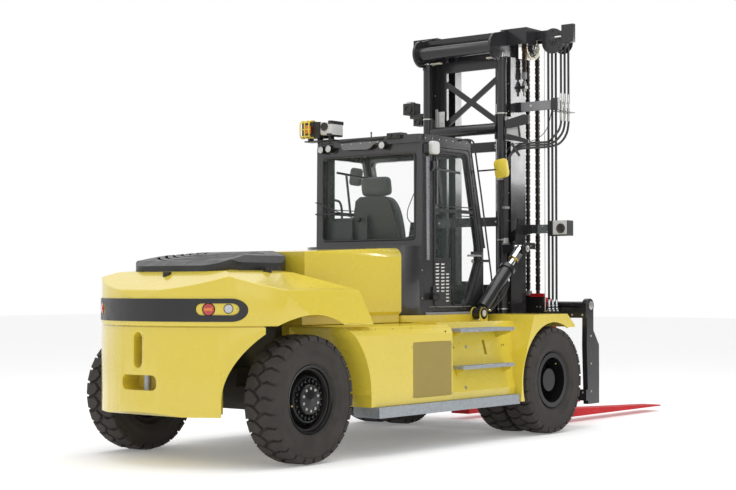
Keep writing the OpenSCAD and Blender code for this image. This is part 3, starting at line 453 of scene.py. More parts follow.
# %% Round the edges of the solids
ROUNDED = {
    10: ["counterweight", "cab_roof"],
    9: ["tail_hood"],
    8: ["cooling_cover"],
    6: ["rear_hood", "side_panels", "front_fenders", "cab_base", "cab_pillars"],
    5: ["cab_deck", "carriage", *pair("fork")],
    4: ["outer_mast", "inner_mast", "sensor_arms"],
    2: ["side_steps"],
}


def soften(piece, millimetres, sides=2):
    """Rounds a piece's edges, whatever the way it was made."""
    weld = piece.modifiers.new("weld", "WELD")
    weld.merge_threshold = 0.0002
    rounded = piece.modifiers.new("rounded", "BEVEL")
    rounded.width = millimetres / 1000
    rounded.segments = sides
    rounded.limit_method = "ANGLE"
    rounded.angle_limit = math.radians(35)
    rounded.harden_normals = True


for width, names in ROUNDED.items():
    for node in names:
        soften(nodes[node], width)
print("rounded:", sum(len(names) for names in ROUNDED.values()))

# %% [markdown]
# ## Building by hand
#
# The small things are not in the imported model: bolts, lamps, seals, sensors, hoses. Each is a mesh
# made point by point with bmesh. Almost all of them are one of four forms: a block, a turned part,
# a bent tube or a flat plate cut to an outline. So there is one helper for each form, and one that
# turns the result into a named piece, gives it its finish and lets it ride on the right body.

# %% Helpers for meshes
Y_AXIS = Vector((0, 1, 0))
Z_AXIS = Vector((0, 0, 1))
X_AXIS = Vector((1, 0, 0))


def across(axis):
    """Two unit vectors square to axis."""
    axis = axis.normalized()
    helper = Z_AXIS if abs(axis.z) < 0.9 else X_AXIS
    first = helper.cross(axis).normalized()
    return first, axis.cross(first)


def add_rings(bm, rings, looped=False):
    """Skins a row of rings of points into a tube with two end faces, or into an endless loop."""
    made = [[bm.verts.new(p) for p in ring] for ring in rings]
    count = len(rings[0])
    for lower, upper in zip(made, made[1:] + made[:1] * looped):
        for i in range(count):
            j = (i + 1) % count
            bm.faces.new((lower[i], lower[j], upper[j], upper[i]))
    if not looped:
        bm.faces.new(list(reversed(made[0])))
        bm.faces.new(made[-1])


def full_turn(count):
    """Even angles round a whole turn."""
    return [2 * math.pi * n / count for n in range(count)]


def circle_points(centre, axis, radius, steps):
    first, second = across(axis)
    return [centre + radius * (math.cos(turn) * first + math.sin(turn) * second)
            for turn in full_turn(steps)]


def add_turned(bm, centre, axis, profile, steps=32):
    """A turned part: profile is a list of (distance along the axis, radius) in millimetres."""
    axis = axis.normalized()
    add_rings(bm, [circle_points(centre + axis * along / 1000, axis, max(radius, 0.05) / 1000,
                                 steps) for along, radius in profile])


def add_rod(bm, start, end, radius, steps=16):
    """A round bar of radius millimetres between two places, with a small chamfer at its ends."""
    length = (end - start).length * 1000
    edge = min(radius * 0.2, length * 0.2)
    add_turned(bm, start, end - start, [(0, radius - edge), (edge, radius),
                                        (length - edge, radius), (length, radius - edge)], steps)


def add_block(bm, low, high):
    """A block between two opposite corners given in drawing millimetres."""
    low, high = [[end(values) for values in zip(low, high)] for end in (min, max)]
    a, b = at(*low), at(*high)
    ring = [(a.x, a.y), (b.x, a.y), (b.x, b.y), (a.x, b.y)]
    add_rings(bm, [[Vector((x, y, z)) for x, y in ring] for z in (a.z, b.z)])


def add_blocks(bm, corners):
    for low, high in corners:
        add_block(bm, low, high)


def smooth_path(points, pieces=6):
    """A round line through the points (Catmull-Rom)."""
    ends = [2 * points[0] - points[1], *points, 2 * points[-1] - points[-2]]
    line = []
    for a, b, c, d in zip(ends, ends[1:], ends[2:], ends[3:]):
        for i in range(pieces):
            t = i / pieces
            line.append(0.5 * ((2 * b) + (c - a) * t + (2 * a - 5 * b + 4 * c - d) * t ** 2
                               + (3 * b - a - 3 * c + d) * t ** 3))
    return [*line, points[-1]]


def add_tube(bm, points, radius, steps=10):
    """A bent round tube of radius millimetres along a line of points."""
    rings = []
    first = across(points[1] - points[0])[0]
    for i, point in enumerate(points):
        ahead = points[min(i + 1, len(points) - 1)] - points[max(i - 1, 0)]
        ahead.normalize()
        first = (first - ahead * first.dot(ahead)).normalized()
        second = ahead.cross(first)
        rings.append([point + radius / 1000 * (math.cos(turn) * first + math.sin(turn) * second)
                      for turn in full_turn(steps)])
    add_rings(bm, rings)


def add_plate(bm, outline, across_y):
    """A plate in the side plane: outline of (x, z), between two values of y."""
    add_rings(bm, [[at(x, y, z) for x, z in outline] for y in across_y])


def add_cross_plate(bm, outline, along_x):
    """A plate across the truck: outline of (y, z), between two values of x."""
    add_rings(bm, [[at(x, y, z) for y, z in outline] for x in along_x])


def round_outline(x0, x1, z0, z1, radius, steps=6):
    """A rectangle with round corners, as a list of points."""
    points = []
    for cx, cz, start in ((x1 - radius, z1 - radius, 0), (x0 + radius, z1 - radius, 90),
                          (x0 + radius, z0 + radius, 180), (x1 - radius, z0 + radius, 270)):
        for i in range(steps + 1):
            angle = math.radians(start + 90 * i / steps)
            points.append((cx + radius * math.cos(angle), cz + radius * math.sin(angle)))
    return points


def add_bolt(bm, place, axis, size):
    """A hexagon head on a washer, size millimetres across, standing on place along axis."""
    add_turned(bm, place, axis, [(-1, size * 0.85), (size * 0.18, size * 0.85)], 20)
    add_turned(bm, place, axis, [(0, size * 0.55), (size * 0.62, size * 0.55),
                                 (size * 0.75, size * 0.42)], 6)


SLOT_OF = {name: name for name in (
    "cast_black", "black_plastic", "galvanised", "bright_rod", "tyre_rubber", "hose_rubber",
    "chain_steel", "tinted_glass", "fork_red", "seat_cloth")}
SLOT_OF.update(yellow_paint="yellow", black_paint="black", cab_black="black", rim_black="black",
               machine_grey="chain_steel", red_lens="lamp_red", punched_sheet="grille_bronze",
               zinc_bolt="steel_grey")


def finish(name, bm, material, body, replaces=(), rounded=0, smooth=35):
    """Turns the mesh into a piece with its finish, on its body, in place of what it replaces."""
    bmesh.ops.recalc_face_normals(bm, faces=bm.faces)
    mesh = bpy.data.meshes.new(name)
    bm.to_mesh(mesh)
    bm.free()
    mesh.materials.append(material)
    piece = bpy.data.objects.new(name, mesh)
    bpy.context.scene.collection.objects.link(piece)
    mesh.shade_smooth()
    mesh.set_sharp_from_angle(angle=math.radians(smooth))
    if rounded:
        soften(piece, rounded)
    if body:
        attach(piece, body)
    if replaces:
        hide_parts(*replaces)
    return piece


print("helpers ready")

# %% [markdown]
# ## Tyres
#
# Tyres of this class carry deep rubber blocks in two rows that lock into each other along a zigzag
# groove, and each block is kinked halfway so that it bites sideways too. A bump texture would look
# flat at the edge of the wheel, where the blocks cut the outline, so every block is real. One
# block is an outline of seven points; it is lofted from the carcass up to the tread, and then
# repeated round the wheel.

# %% Tyres with their blocks
TYRE_WIDTH = 315
BLOCKS = 27
# around the wheel in pitches, across in half widths
BLOCK_OUTLINE = ((-0.42, 0.95), (0.38, 0.95), (0.50, 0.58), (0.35, 0.26), (-0.04, -0.07),
                 (-0.44, 0.26), (-0.30, 0.58))
# half of the carcass: radius and distance from the middle, both in millimetres
CARCASS = ((258, 95), (288, 104), (306, 128), (318, 144), (340, 151), (372, 155.5), (376, 157),
           (400, 157.5), (404, 156), (450, 157), (484, 156.5), (490, 155), (512, 150), (528, 138),
           (534, 118), (535, 60), (535, 0))


def wheel_point(x, y, angle, radius):
    return at(x + radius * math.sin(angle), y, tyre_radius * 1000 + radius * math.cos(angle))


def add_tyre(bm, x, middle, turned):
    ring = [(r, w) for r, w in CARCASS] + [(r, -w) for r, w in reversed(CARCASS[:-1])]
    add_rings(bm, [[wheel_point(x, middle + w, turn, r) for r, w in ring]
                   for turn in full_turn(108)], looped=True)
    pitch = 2 * math.pi / BLOCKS
    half = TYRE_WIDTH / 2
    for row in (-1, 1):
        for n in range(BLOCKS):
            turn = pitch * (n + (0.5 if row > 0 else 0))
            rings = []
            for radius, grow in ((530, 1.05), (555, 1.0), (560, 0.95)):
                points = []
                for s, w in BLOCK_OUTLINE:
                    s, w = -0.02 + (s + 0.02) * grow, 0.5 + (w - 0.5) * grow
                    drop = 14 if w > 0.85 and radius > 540 else 0
                    points.append(wheel_point(x, middle + row * w * half,
                                              turn + turned * s * pitch, radius - drop))
                rings.append(points)
            add_rings(bm, rings)
            shoulder = []
            for radius, inner, outer, grow in ((500, 0.90, 1.0, 0.96), (512, 0.90, 0.997, 1),
                                               (535, 0.88, 0.99, 1), (546, 0.86, 0.945, 0.98)):
                corners = ((-0.42, inner), (0.38, inner), (0.38, outer), (-0.42, outer))
                shoulder.append([wheel_point(x, middle + row * w * half,
                                             turn + turned * s * grow * pitch, radius)
                                 for s, w in corners])
            add_rings(bm, shoulder)


# how far the middles of the tyres are from the middle of the truck
drive_outer, drive_inner, steer_middle = 1112.5, 747.5, 990.5
steer_x = (steer_axle_x - axle_x) * 1000
for side, way in SIDES.items():
    bm = bmesh.new()
    for middle in (drive_outer, drive_inner):
        add_tyre(bm, 0, way * middle, way)
    finish(f"drive_tyre_treads_{side}", bm, tyre_rubber, f"drive_wheel_{side}",
           [f"drive_tyres_{side}"])
    bm = bmesh.new()
    add_tyre(bm, steer_x, way * steer_middle, -way)
    made = finish(f"steer_tyre_treads_{side}", bm, tyre_rubber, f"steer_wheel_{side}",
                  [f"steer_tyre_{side}"])
print("faces in one steer tyre:", len(made.data.polygons))

# %% [markdown]
# ## Rims and hubs
#
# The steered wheels show their hubs: the rim dips into a well, a heavy drum comes out of it with a
# crown of studs, and a cap with a ring of small bolts closes the bearing. These are turned parts,
# so a profile spun round the axle gives them, and the studs are placed by a loop. The drive rims
# are deep and dark, with nuts far inside and a long valve stem that ends in a brass tip.

# %% Hubs, nuts and valves
RIM_PROFILE = ((-60, 236), (20, 238), (60, 262), (108, 268), (122, 276), (128, 296), (122, 300),
               (116, 284), (100, 274), (50, 268), (14, 246), (-60, 244))
HUB_PROFILE = ((-30, 150), (-30, 242), (14, 244), (22, 238), (30, 226), (52, 216), (86, 208),
               (96, 200), (100, 188), (70, 182), (66, 142), (118, 132), (124, 126), (124, 20),
               (128, 10))
STUDS, CAP_BOLTS, DRIVE_NUTS = 20, 10, 14
brass = finish_recipe("brass", (0.62, 0.46, 0.18), (0.50, 0.36, 0.13), (0.25, 0.4), 20, 400,
                      0.0001, metal=1)
for side, out in SIDES.items():
    outward = Y_AXIS * out
    middle = out * steer_middle
    hub = at(steer_x, middle, tyre_radius * 1000)
    bm = bmesh.new()
    add_rings(bm, [[wheel_point(steer_x, middle + out * along, turn, r) for along, r in RIM_PROFILE]
                   for turn in full_turn(72)], looped=True)
    add_turned(bm, hub, outward, HUB_PROFILE, 72)
    for angle in full_turn(STUDS):
        spot = wheel_point(steer_x, middle + out * 66, angle, 163)
        add_turned(bm, spot, outward, [(0, 17), (20, 17), (24, 14), (38, 13), (40, 9)], 6)
        rib = [wheel_point(steer_x, middle + out * along, angle + math.pi / STUDS + turn, r)
               for along, turn, r in ((66, -0.02, 142), (66, 0.02, 142), (66, 0.02, 184),
                                      (66, -0.02, 184))]
        add_rings(bm, [rib, [p + outward * 0.024 for p in rib]])
    finish(f"steer_hub_dressed_{side}", bm, rim_black, f"steer_wheel_{side}",
           [f"steer_hub_{side}"], smooth=30)
    bm = bmesh.new()
    for angle in full_turn(CAP_BOLTS):
        add_bolt(bm, wheel_point(steer_x, middle + out * 124, angle, 98), outward, 15)
    finish(f"hub_cap_bolts_{side}", bm, zinc_bolt, f"steer_wheel_{side}")
    bm = bmesh.new()
    for angle in full_turn(DRIVE_NUTS):
        spot = wheel_point(0, out * (drive_outer - 88), angle, 168)
        add_turned(bm, spot, outward, [(0, 20), (6, 20), (8, 16), (30, 16), (33, 11), (44, 10)], 6)
    finish(f"drive_wheel_nuts_{side}", bm, cast_black, f"drive_wheel_{side}")
    bm = bmesh.new()
    stem = [wheel_point(0, out * y, 0.5, r) for y, r in ((drive_outer - 84, 214),
            (drive_outer - 20, 216), (drive_outer + 60, 196), (drive_outer + 96, 190))]
    add_tube(bm, smooth_path(stem), 5)
    add_rod(bm, stem[-1], stem[-1] + outward * 0.02, 8, 12)
    finish(f"drive_valve_{side}", bm, brass, f"drive_wheel_{side}")
    bm = bmesh.new()
    stem = [wheel_point(steer_x, middle + out * along, -1.75, r)
            for along, r in ((40, 250), (70, 246), (100, 236))]
    add_tube(bm, smooth_path(stem), 6)
    add_turned(bm, stem[-1], outward, [(0, 10), (14, 10), (16, 7)], 12)
    finish(f"steer_valve_{side}", bm, brass, f"steer_wheel_{side}")
print("hubs, nuts and valves on both sides")

# %% [markdown]
# ## Tail lamps
#
# A black band wraps round the tail with a lamp pocket near each end. A lamp is a turned bezel with
# a domed lens. The big one is red with an amber bar across its middle, the small one is clear.
# They stand on the round tail, so each is placed by its angle round the middle of that round.

# %% Lamps round the tail
TAIL_MIDDLE = -3527
LAMP_SEAT = 1196
LAMP_HEIGHT = 1341


def tail_place(angle, height, out=0.0):
    """A place on the band, its angle measured from straight back, and the way it faces."""
    turn = math.radians(180 + angle)
    facing = Vector((math.cos(turn), math.sin(turn), 0))
    return at(TAIL_MIDDLE, 0, height) + facing * (LAMP_SEAT + out) / 1000, facing


red_bm, amber_bm, clear_bm, rim_bm, screw_bm = (bmesh.new() for _ in range(5))
for way in (1, -1):
    spot, facing = tail_place(33 * way, LAMP_HEIGHT)
    add_turned(rim_bm, spot, facing, [(0, 56), (6, 56), (9, 51), (6, 49)], 40)
    side_way = Z_AXIS.cross(facing)
    dome = [(6, 49), (12, 47), (16, 40), (19, 26), (20, 4)]
    add_turned(red_bm, spot, facing, dome, 40)
    bar = [spot + facing * 0.0205 + side_way * s / 1000 + Z_AXIS * z / 1000
           for s, z in ((-36, -13), (36, -13), (36, 13), (-36, 13))]
    add_rings(amber_bm, [bar, [p + facing * 0.002 for p in bar]])
    spot, facing = tail_place(41 * way, LAMP_HEIGHT + 5)
    add_turned(rim_bm, spot, facing, [(0, 41), (6, 41), (8, 37), (6, 36)], 32)
    add_turned(clear_bm, spot, facing, [(6, 36), (11, 34), (15, 24), (16, 4)], 32)
    for angle, height in ((27.6, 30), (27.6, -34), (44.4, 4)):
        spot, facing = tail_place(angle * way, LAMP_HEIGHT + height)
        add_turned(screw_bm, spot, facing, [(0, 6), (5, 6), (8, 3)], 12)
finish("tail_lamp_red", red_bm, red_lens, "truck", ["tail_lamps"])
finish("tail_lamp_amber", amber_bm, amber_lens, "truck", rounded=1)
finish("tail_lamp_clear", clear_bm, clear_lens, "truck")
finish("tail_lamp_bezels", rim_bm, black_plastic, "truck")
finish("tail_lamp_screws", screw_bm, zinc_bolt, "truck")
print("tail lamps done")

# %% [markdown]
# ## Lamps and sensors on the cab
#
# A large truck works at night and among people, so its cab carries round work lamps on the rear
# edge of the roof, an amber beacon in a tube guard, and a sensor head beside it. Each lamp is a
# turned housing with a ring of cooling fins, a clear front and a yoke. One function makes a lamp
# facing any way, so all of them match.

# %% Work lamps and the roof sensor
def add_work_lamp(shell, lens, place, facing, radius):
    """A round lamp whose front stands on place; radius is in millimetres."""
    fins = [(-70, radius * 0.45), (-66, radius * 0.62)]
    for n in range(5):
        fins += [(-62 + n * 9, radius * 0.66), (-62 + n * 9, radius * 0.9),
                 (-58 + n * 9, radius * 0.9), (-58 + n * 9, radius * 0.66)]
    add_turned(shell, place, facing, fins + [(-14, radius * 0.95), (-2, radius), (2, radius),
                                             (2, radius * 0.9), (-3, radius * 0.86)], 32)
    add_turned(lens, place, facing, [(-4, radius * 0.84), (0, radius * 0.84),
                                     (4, radius * 0.6), (6, radius * 0.2)], 32)


def add_yoke(bm, place, side_way, radius):
    """The U-shaped bracket that holds a round lamp from above."""
    bar = [place + side_way * s * (radius + 5) / 1000 + Z_AXIS * up / 1000
           for s, up in ((-1, -6), (-1, radius + 14), (1, radius + 14), (1, -6))]
    add_tube(bm, bar, 4, 8)
    add_rod(bm, place + Z_AXIS * (radius + 12) / 1000, place + Z_AXIS * (radius + 44) / 1000, 7, 10)


shell_bm, lens_bm = bmesh.new(), bmesh.new()
ROOF_EDGE = -1604
for y, z in ((590, 2962), (484, 2968), (-218, 2966)):
    add_work_lamp(shell_bm, lens_bm, at(ROOF_EDGE, y, z), -X_AXIS, 42)
    add_yoke(shell_bm, at(ROOF_EDGE + 30, y, z), Y_AXIS, 42)
for y in (500, -500):
    add_work_lamp(shell_bm, lens_bm, at(-596, y, 3008), X_AXIS, 50)
add_block(shell_bm, (-1530, -722, 2870), (-1476, -690, 2960))
# the lamp low on the corner post is off, so its glass is as dark as its shell
add_work_lamp(shell_bm, shell_bm, at(-1400, -752, 1432), Vector((-0.3, -1, -0.1)), 40)
add_tube(shell_bm, [at(-1392, -712, 1436), at(-1380, -690, 1440), at(-1370, -684, 1500)], 8, 8)
finish("work_lamps", shell_bm, black_plastic, "truck", ["roof_equipment"])
finish("work_lamp_lenses", lens_bm, clear_lens, "truck")
bm = bmesh.new()
add_plate(bm, round_outline(-1484, -1350, 2858, 2990, 34), (-768, -712))
finish("side_work_lamp", bm, pale_plastic, "truck", rounded=14)

head_bm, pale_bm, beacon_bm, guard_bm = (bmesh.new() for _ in range(4))
add_plate(head_bm, round_outline(-1660, -1440, 3096, 3262, 22), (640, 795))
add_plate(pale_bm, round_outline(-1640, -1450, 3112, 3250, 20), (410, 560))
add_turned(head_bm, at(-1642, 500, 3198), -X_AXIS, [(0, 44), (14, 44), (16, 38), (8, 34)], 32)
add_blocks(head_bm, [((-1655, 560, 3086), (-1500, 640, 3252)),
                     ((-1646, 412, 3098), (-1450, 470, 3124)),
                     ((-1644, 408, 3222), (-1440, 452, 3258)),
                     ((-1626, 400, 3050), (-1500, 790, 3064))]
           + [((-1600, y, 3058), (-1540, y + 34, 3104)) for y in (450, 600, 730)])
add_rod(beacon_bm, at(-1690, 690, 3130), at(-1690, 690, 3214), 36, 32)
for y in (630, 690, 750):
    hoop = [at(-1664, y, 3086), at(-1728, y, 3092), at(-1740, y, 3172), at(-1728, y, 3250),
            at(-1650, y, 3266)]
    add_tube(guard_bm, smooth_path(hoop, 4), 7, 8)
for z in (3100, 3172, 3244):
    add_tube(guard_bm, [at(-1733, 626, z), at(-1733, 754, z)], 6, 8)
finish("roof_sensor_head", head_bm, black_plastic, "truck", rounded=3)
finish("roof_sensor_cover", pale_bm, pale_plastic, "truck", rounded=4)
finish("roof_beacon", beacon_bm, amber_lens, "truck")
finish("roof_beacon_guard", guard_bm, grille_yellow, "truck")
print("lamps and roof sensor done")

# %% [markdown]
# The rear edge of the roof also carries a glossy trim with cut corners, a small camera box with
# its lens, a stub aerial and the cable runs between them.

# %% Trim, camera and aerial
glossy_black = finish_recipe("glossy_black", (0.10, 0.10, 0.11), (0.13, 0.13, 0.14),
                             (0.10, 0.18), 2, 80, 0.0002, coat=0.6)
bm = bmesh.new()
trim = [(330, 3012), (318, 2968), (290, 2943), (-20, 2934), (-60, 2945), (-110, 2984),
        (-185, 3000), (-190, 3014)]
add_cross_plate(bm, trim, (-1592, -1577))
finish("roof_trim", bm, glossy_black, "truck", rounded=3)
bm = bmesh.new()
add_plate(bm, round_outline(-1606, -1480, 3022, 3084, 12), (-455, -285))
add_turned(bm, at(-1606, -330, 3056), -X_AXIS, [(0, 22), (10, 22), (12, 18), (6, 15)], 24)
add_turned(bm, at(-1606, -420, 3052), -X_AXIS, [(0, 14), (8, 14), (9, 8)], 20)
for y in (-440, -300):
    add_block(bm, (-1560, y - 12, 2990), (-1520, y + 12, 3024))
add_turned(bm, at(-1500, -6, 3058), Z_AXIS, [(0, 14), (8, 14), (10, 7), (46, 6), (48, 10), (62, 9)],
           16)
for x, z in ((-1590, 3040), (-1584, 3030)):
    cable = [at(x, y, z + 4 * math.sin(y / 60)) for y in range(380, -260, -40)]
    add_tube(bm, smooth_path(cable, 2), 5, 6)
finish("roof_camera_and_cables", bm, black_plastic, "truck", rounded=2)
bm = bmesh.new()
for y in (300, 180, 60, -60, -160):
    add_turned(bm, at(-1592, y, 3000), -X_AXIS, [(0, 6), (3, 6), (5, 3)], 10)
for x in range(-1500, -640, 120):
    for y in (-690, 690):
        add_turned(bm, at(x, y, 3020), Y_AXIS * (1 if y > 0 else -1), [(0, 7), (3, 7), (5, 4)], 10)
finish("roof_screws", bm, zinc_bolt, "truck")
print("roof trim done")

# %% [markdown]
# ## Windows, door and wiper
#
# Cab glass sits in black rubber seals with a soft lip. A seal is a tube with a round corner path
# round the opening, pressed against the frame. The doors have a mid rail, a bar handle and a lower
# panel with cooling slots behind which pale vanes show. The rear wiper hangs from a motor box
# inside the glass.

# %% Seals, louvres, handles and wiper
white_plastic = finish_recipe("white_plastic", (0.90, 0.91, 0.94), (0.84, 0.85, 0.88), (0.3, 0.4),
                              6, 300, 0.0001)


def loop_path(points, radius, steps=5):
    """A closed line round the corner points, each corner rounded by radius millimetres."""
    line = []
    count = len(points)
    for i in range(count):
        here, before, after = points[i], points[i - 1], points[(i + 1) % count]
        start = here + (before - here).normalized() * radius / 1000
        end = here + (after - here).normalized() * radius / 1000
        for k in range(steps + 1):
            t = k / steps
            line.append(start * (1 - t) ** 2 + here * 2 * t * (1 - t) + end * t ** 2)
    return [*line, line[0]]


def add_vane(bm, x0, x1, z, flip):
    """A slanting strip behind one cooling slot of a door."""
    strip = [at(x0, flip * 673, z - 1), at(x1, flip * 673, z - 1), at(x1, flip * 681, z + 17),
             at(x0, flip * 681, z + 17)]
    add_rings(bm, [strip, [p - Y_AXIS * flip * 0.003 for p in strip]])


DOOR_CORNERS = ((-1370, 1290), (-790, 1290), (-698, 1402), (-508, 1800), (-516, 1960),
                (-729, 2940), (-1370, 2940))
bm = bmesh.new()
rear_window = [at(-1548, y, z) for y, z in ((-598, 2008), (598, 2008), (598, 2872), (-598, 2872))]
add_tube(bm, loop_path(rear_window, 45), 11, 8)
for y in (-688, 688):
    corners = [(-1474, 2006), (-1446, 2006), (-1446, 2884), (-1470, 2884)]
    add_tube(bm, loop_path([at(x, y * 0.998, z) for x, z in corners], 10, 3), 6, 6)
finish("window_seals", bm, hose_rubber, "truck")
CAB_SIDE = 684
for side, flip in SIDES.items():
    y = flip * CAB_SIDE
    bm = bmesh.new()
    inner = [(x + (30 if x < -1000 else -34), z + (34 if z < 1500 else -34 if z > 2500 else 0))
             for x, z in DOOR_CORNERS]
    upper = [(-1306, 2352), (-634, 2352), (-776, 2884), (-1306, 2884)]
    lower = [(-1018, 1352), (-820, 1352), (-752, 1432), (-572, 1806), (-580, 1950), (-640, 2262),
             (-1018, 2262)]
    add_tube(bm, loop_path([at(x, y, z) for x, z in inner], 60), 9, 8)
    add_tube(bm, loop_path([at(x, y, z) for x, z in upper], 40), 6, 6)
    add_tube(bm, loop_path([at(x, y, z) for x, z in lower], 40), 6, 6)
    finish(f"door_seals_{side}", bm, hose_rubber, f"door_{side}")
    bm = bmesh.new()
    for z in range(1484, 1790, 34):
        for x in (-1308, -1213):
            add_vane(bm, x, x + 62, z, flip)
    for z in range(1384, 1690, 34):
        add_vane(bm, -1128, -1072, z, flip)
    finish(f"door_louvre_vanes_{side}", bm, white_plastic, f"door_{side}")
    bm = bmesh.new()
    grip = [at(x, flip * (700 + lift), 1857) for x, lift in
            ((-780, 0), (-765, 22), (-730, 30), (-600, 30), (-566, 22), (-552, 0))]
    add_tube(bm, smooth_path(grip, 4), 11, 10)
    add_turned(bm, at(-666, flip * CAB_SIDE, 1800), Y_AXIS * flip, [(0, 20), (8, 20), (10, 12)], 20)
    finish(f"door_handle_{side}", bm, machine_grey, f"door_{side}")
    bm = bmesh.new()
    for rail in ([at(-1300, flip * 610, 2742), at(-790, flip * 610, 2712)],
                 [at(-1150, flip * 610, 2736), at(-1080, flip * 610, 2320)],
                 smooth_path([at(-1330, flip * 612, 2450), at(-1270, flip * 600, 2430),
                              at(-1240, flip * 596, 2340), at(-1240, flip * 600, 2200)], 5)):
        add_tube(bm, rail, 13, 10)
    finish(f"door_inner_rail_{side}", bm, cab_black, f"door_{side}")

bm = bmesh.new()
add_tube(bm, [at(-1562, 690, 2417), at(-1572, 400, 2318), at(-1568, 118, 2222)], 6, 8)
add_block(bm, (-1566, 420, 2285), (-1556, 690, 2300))
add_turned(bm, at(-1540, 118, 2222), -X_AXIS, [(0, 26), (24, 26), (30, 18)], 24)
finish("rear_wiper", bm, black_plastic, "truck", rounded=1)
bm = bmesh.new()
add_plate(bm, round_outline(-1496, -1478, 1932, 2262, 6), (52, 172))
add_plate(bm, round_outline(-1476, -1400, 1936, 2230, 20), (60, 165))
add_plate(bm, round_outline(-1478, -1250, 1936, 2250, 40), (262, 600))
finish("wiper_motor_and_side_box", bm, black_plastic, "truck", rounded=6)
print("windows, doors and wiper done")

# %% [markdown]
# ## Seat
#
# A driver sits on this seat for a whole shift, so it is a thick sprung seat with a wide back. Foam
# under cloth swells between its seams: the middle stands proud, the edges are pulled in, and the
# rows of stitching sink. Each cushion starts as a cube pressed into a rounded block, then the
# crown and the sewn channels are added as heights over its face.

# %% Seat cushions
def add_cushion(bm, centre, half, lean, channels, crown=0.10, grid=26, power=5.0, taper=0.0):
    """A sewn cushion: half is its half sizes in metres, and taper narrows a back at its top."""
    def surface(x, y, z):
        size = (abs(x) ** power + abs(y) ** power + abs(z) ** power) ** (1 / power)
        p = Vector((x, y, z)) / size
        thin = min(range(3), key=lambda axis: half[axis])
        flat = [p[axis] for axis in range(3) if axis != thin]
        swell = crown * (1 - flat[0] ** 2) * (1 - flat[1] ** 2)
        along = p.z if thin == 0 else p.x
        for place in channels:
            swell -= 0.045 * math.exp(-((along - place) / 0.035) ** 2)
        p[thin] += math.copysign(swell, p[thin]) * (abs(p[thin]) ** 2)
        if thin == 0:
            p.y *= 1 - taper * ((p.z + 0.25) / 1.25) ** 2
        p = Vector(p[axis] * half[axis] for axis in range(3))
        turned = Matrix.Rotation(lean, 3, "Y") @ p
        return centre + turned

    made = {}

    def corner(x, y, z):
        key = (round(x, 5), round(y, 5), round(z, 5))
        if key not in made:
            made[key] = bm.verts.new(surface(x, y, z))
        return made[key]

    steps = [-1 + 2 * i / grid for i in range(grid + 1)]
    for axis in range(3):
        for end in (-1, 1):
            for a, b in zip(steps, steps[1:]):
                for c, d in zip(steps, steps[1:]):
                    quad = []
                    for u, v in ((a, c), (b, c), (b, d), (a, d)):
                        p = [u, v]
                        p.insert(axis, end)
                        quad.append(corner(*p))
                    bm.faces.new(quad)


back_lean = math.radians(-8)
bm = bmesh.new()
add_cushion(bm, at(-1110, 0, 1725), (0.215, 0.245, 0.062), math.radians(-3), (-0.45, 0.05, 0.5),
            0.28)
seat_pad = finish("seat_cushion", bm, seat_cloth, "truck", ["operator_seat"], smooth=60)
bm = bmesh.new()
add_cushion(bm, at(-1344, 0, 2117), (0.062, 0.30, 0.345), back_lean, (-0.55, -0.2, 0.1, 0.38, 0.64),
            0.22, taper=0.24)
seat_back = finish("seat_backrest", bm, seat_cloth, "truck", smooth=60)
bm = bmesh.new()
add_cushion(bm, at(-1406, 0, 2564), (0.05, 0.175, 0.1), back_lean, (0.0,), 0.16, 20)
headrest = finish("seat_headrest", bm, seat_cloth, "truck", smooth=60)
bm = bmesh.new()
shell = [(-290, 1900), (290, 1900), (300, 2120), (215, 2420), (150, 2460), (-150, 2460),
         (-215, 2420), (-300, 2120)]
rings = []
for x, inward in ((-18, 0.0), (14, 0.0), (46, 0.06)):
    rings.append([at(-1420 + x - (z - 2100) * 0.14, y * (1 - inward), z) for y, z in shell])
add_rings(bm, rings)
for y in (-70, 70):
    add_rod(bm, at(-1398, y, 2440), at(-1410, y, 2500), 7, 10)
for y in (-275, 275):
    add_plate(bm, round_outline(-1228, -957, 1966, 2010, 18), (y - 34, y + 34))
finish("seat_shell_and_arms", bm, black_plastic, "truck", rounded=10)
bm = bmesh.new()
add_plate(bm, round_outline(-1190, -940, 1990, 2060, 16), (-400, -262))
add_plate(bm, round_outline(-960, -940, 2040, 2205, 10), (-420, -230))
cable = [(-985, -330, 2060), (-1000, -240, 2150), (-1000, -110, 2230), (-1000, -96, 2330),
         (-1000, -150, 2450), (-1000, -200, 2545)]
add_tube(bm, smooth_path([at(*p) for p in cable]), 5, 8)
add_rod(bm, at(-1040, -330, 2056), at(-1040, -330, 2120), 16, 16)
finish("armrest_console", bm, black_plastic, "truck", rounded=3)
print("seat done")

# %% [markdown]
# ## Chains and their wheels
#
# The mast lifts the carriage on leaf chains, the kind made only of flat link plates on pins. Seen
# from the side the plates make a row of rounded teeth, which is what one notices first. Each plate
# is a small outline with two round ends and a waist, pushed out along the pin, and every second
# plate of the stack joins the next pair of pins. The pins follow a list of places: up the back,
# over the wheel and down the front.

# %% Leaf chains over bright wheels
CHAIN_Y, CHAIN_WIDTH, CHAIN_HALF = 601, 44, 17.5
WHEEL_X, WHEEL_Z, CHAIN_RADIUS = 608, 4190, 134
CHAIN_BACK, CHAIN_FRONT = WHEEL_X - CHAIN_RADIUS, WHEEL_X + CHAIN_RADIUS
CHAIN_END, CARRIAGE_END = 3872, 1466
INNER_CHAIN_X, INNER_CHAIN_Y = 690, 508


def add_ring(bm, centre, axis, profile, steps=48):
    """A ring turned about an axis from a closed outline of (distance along it, radius)."""
    add_rings(bm, [circle_points(centre + axis * along / 1000, axis, radius / 1000, steps)
                   for along, radius in profile], looped=True)


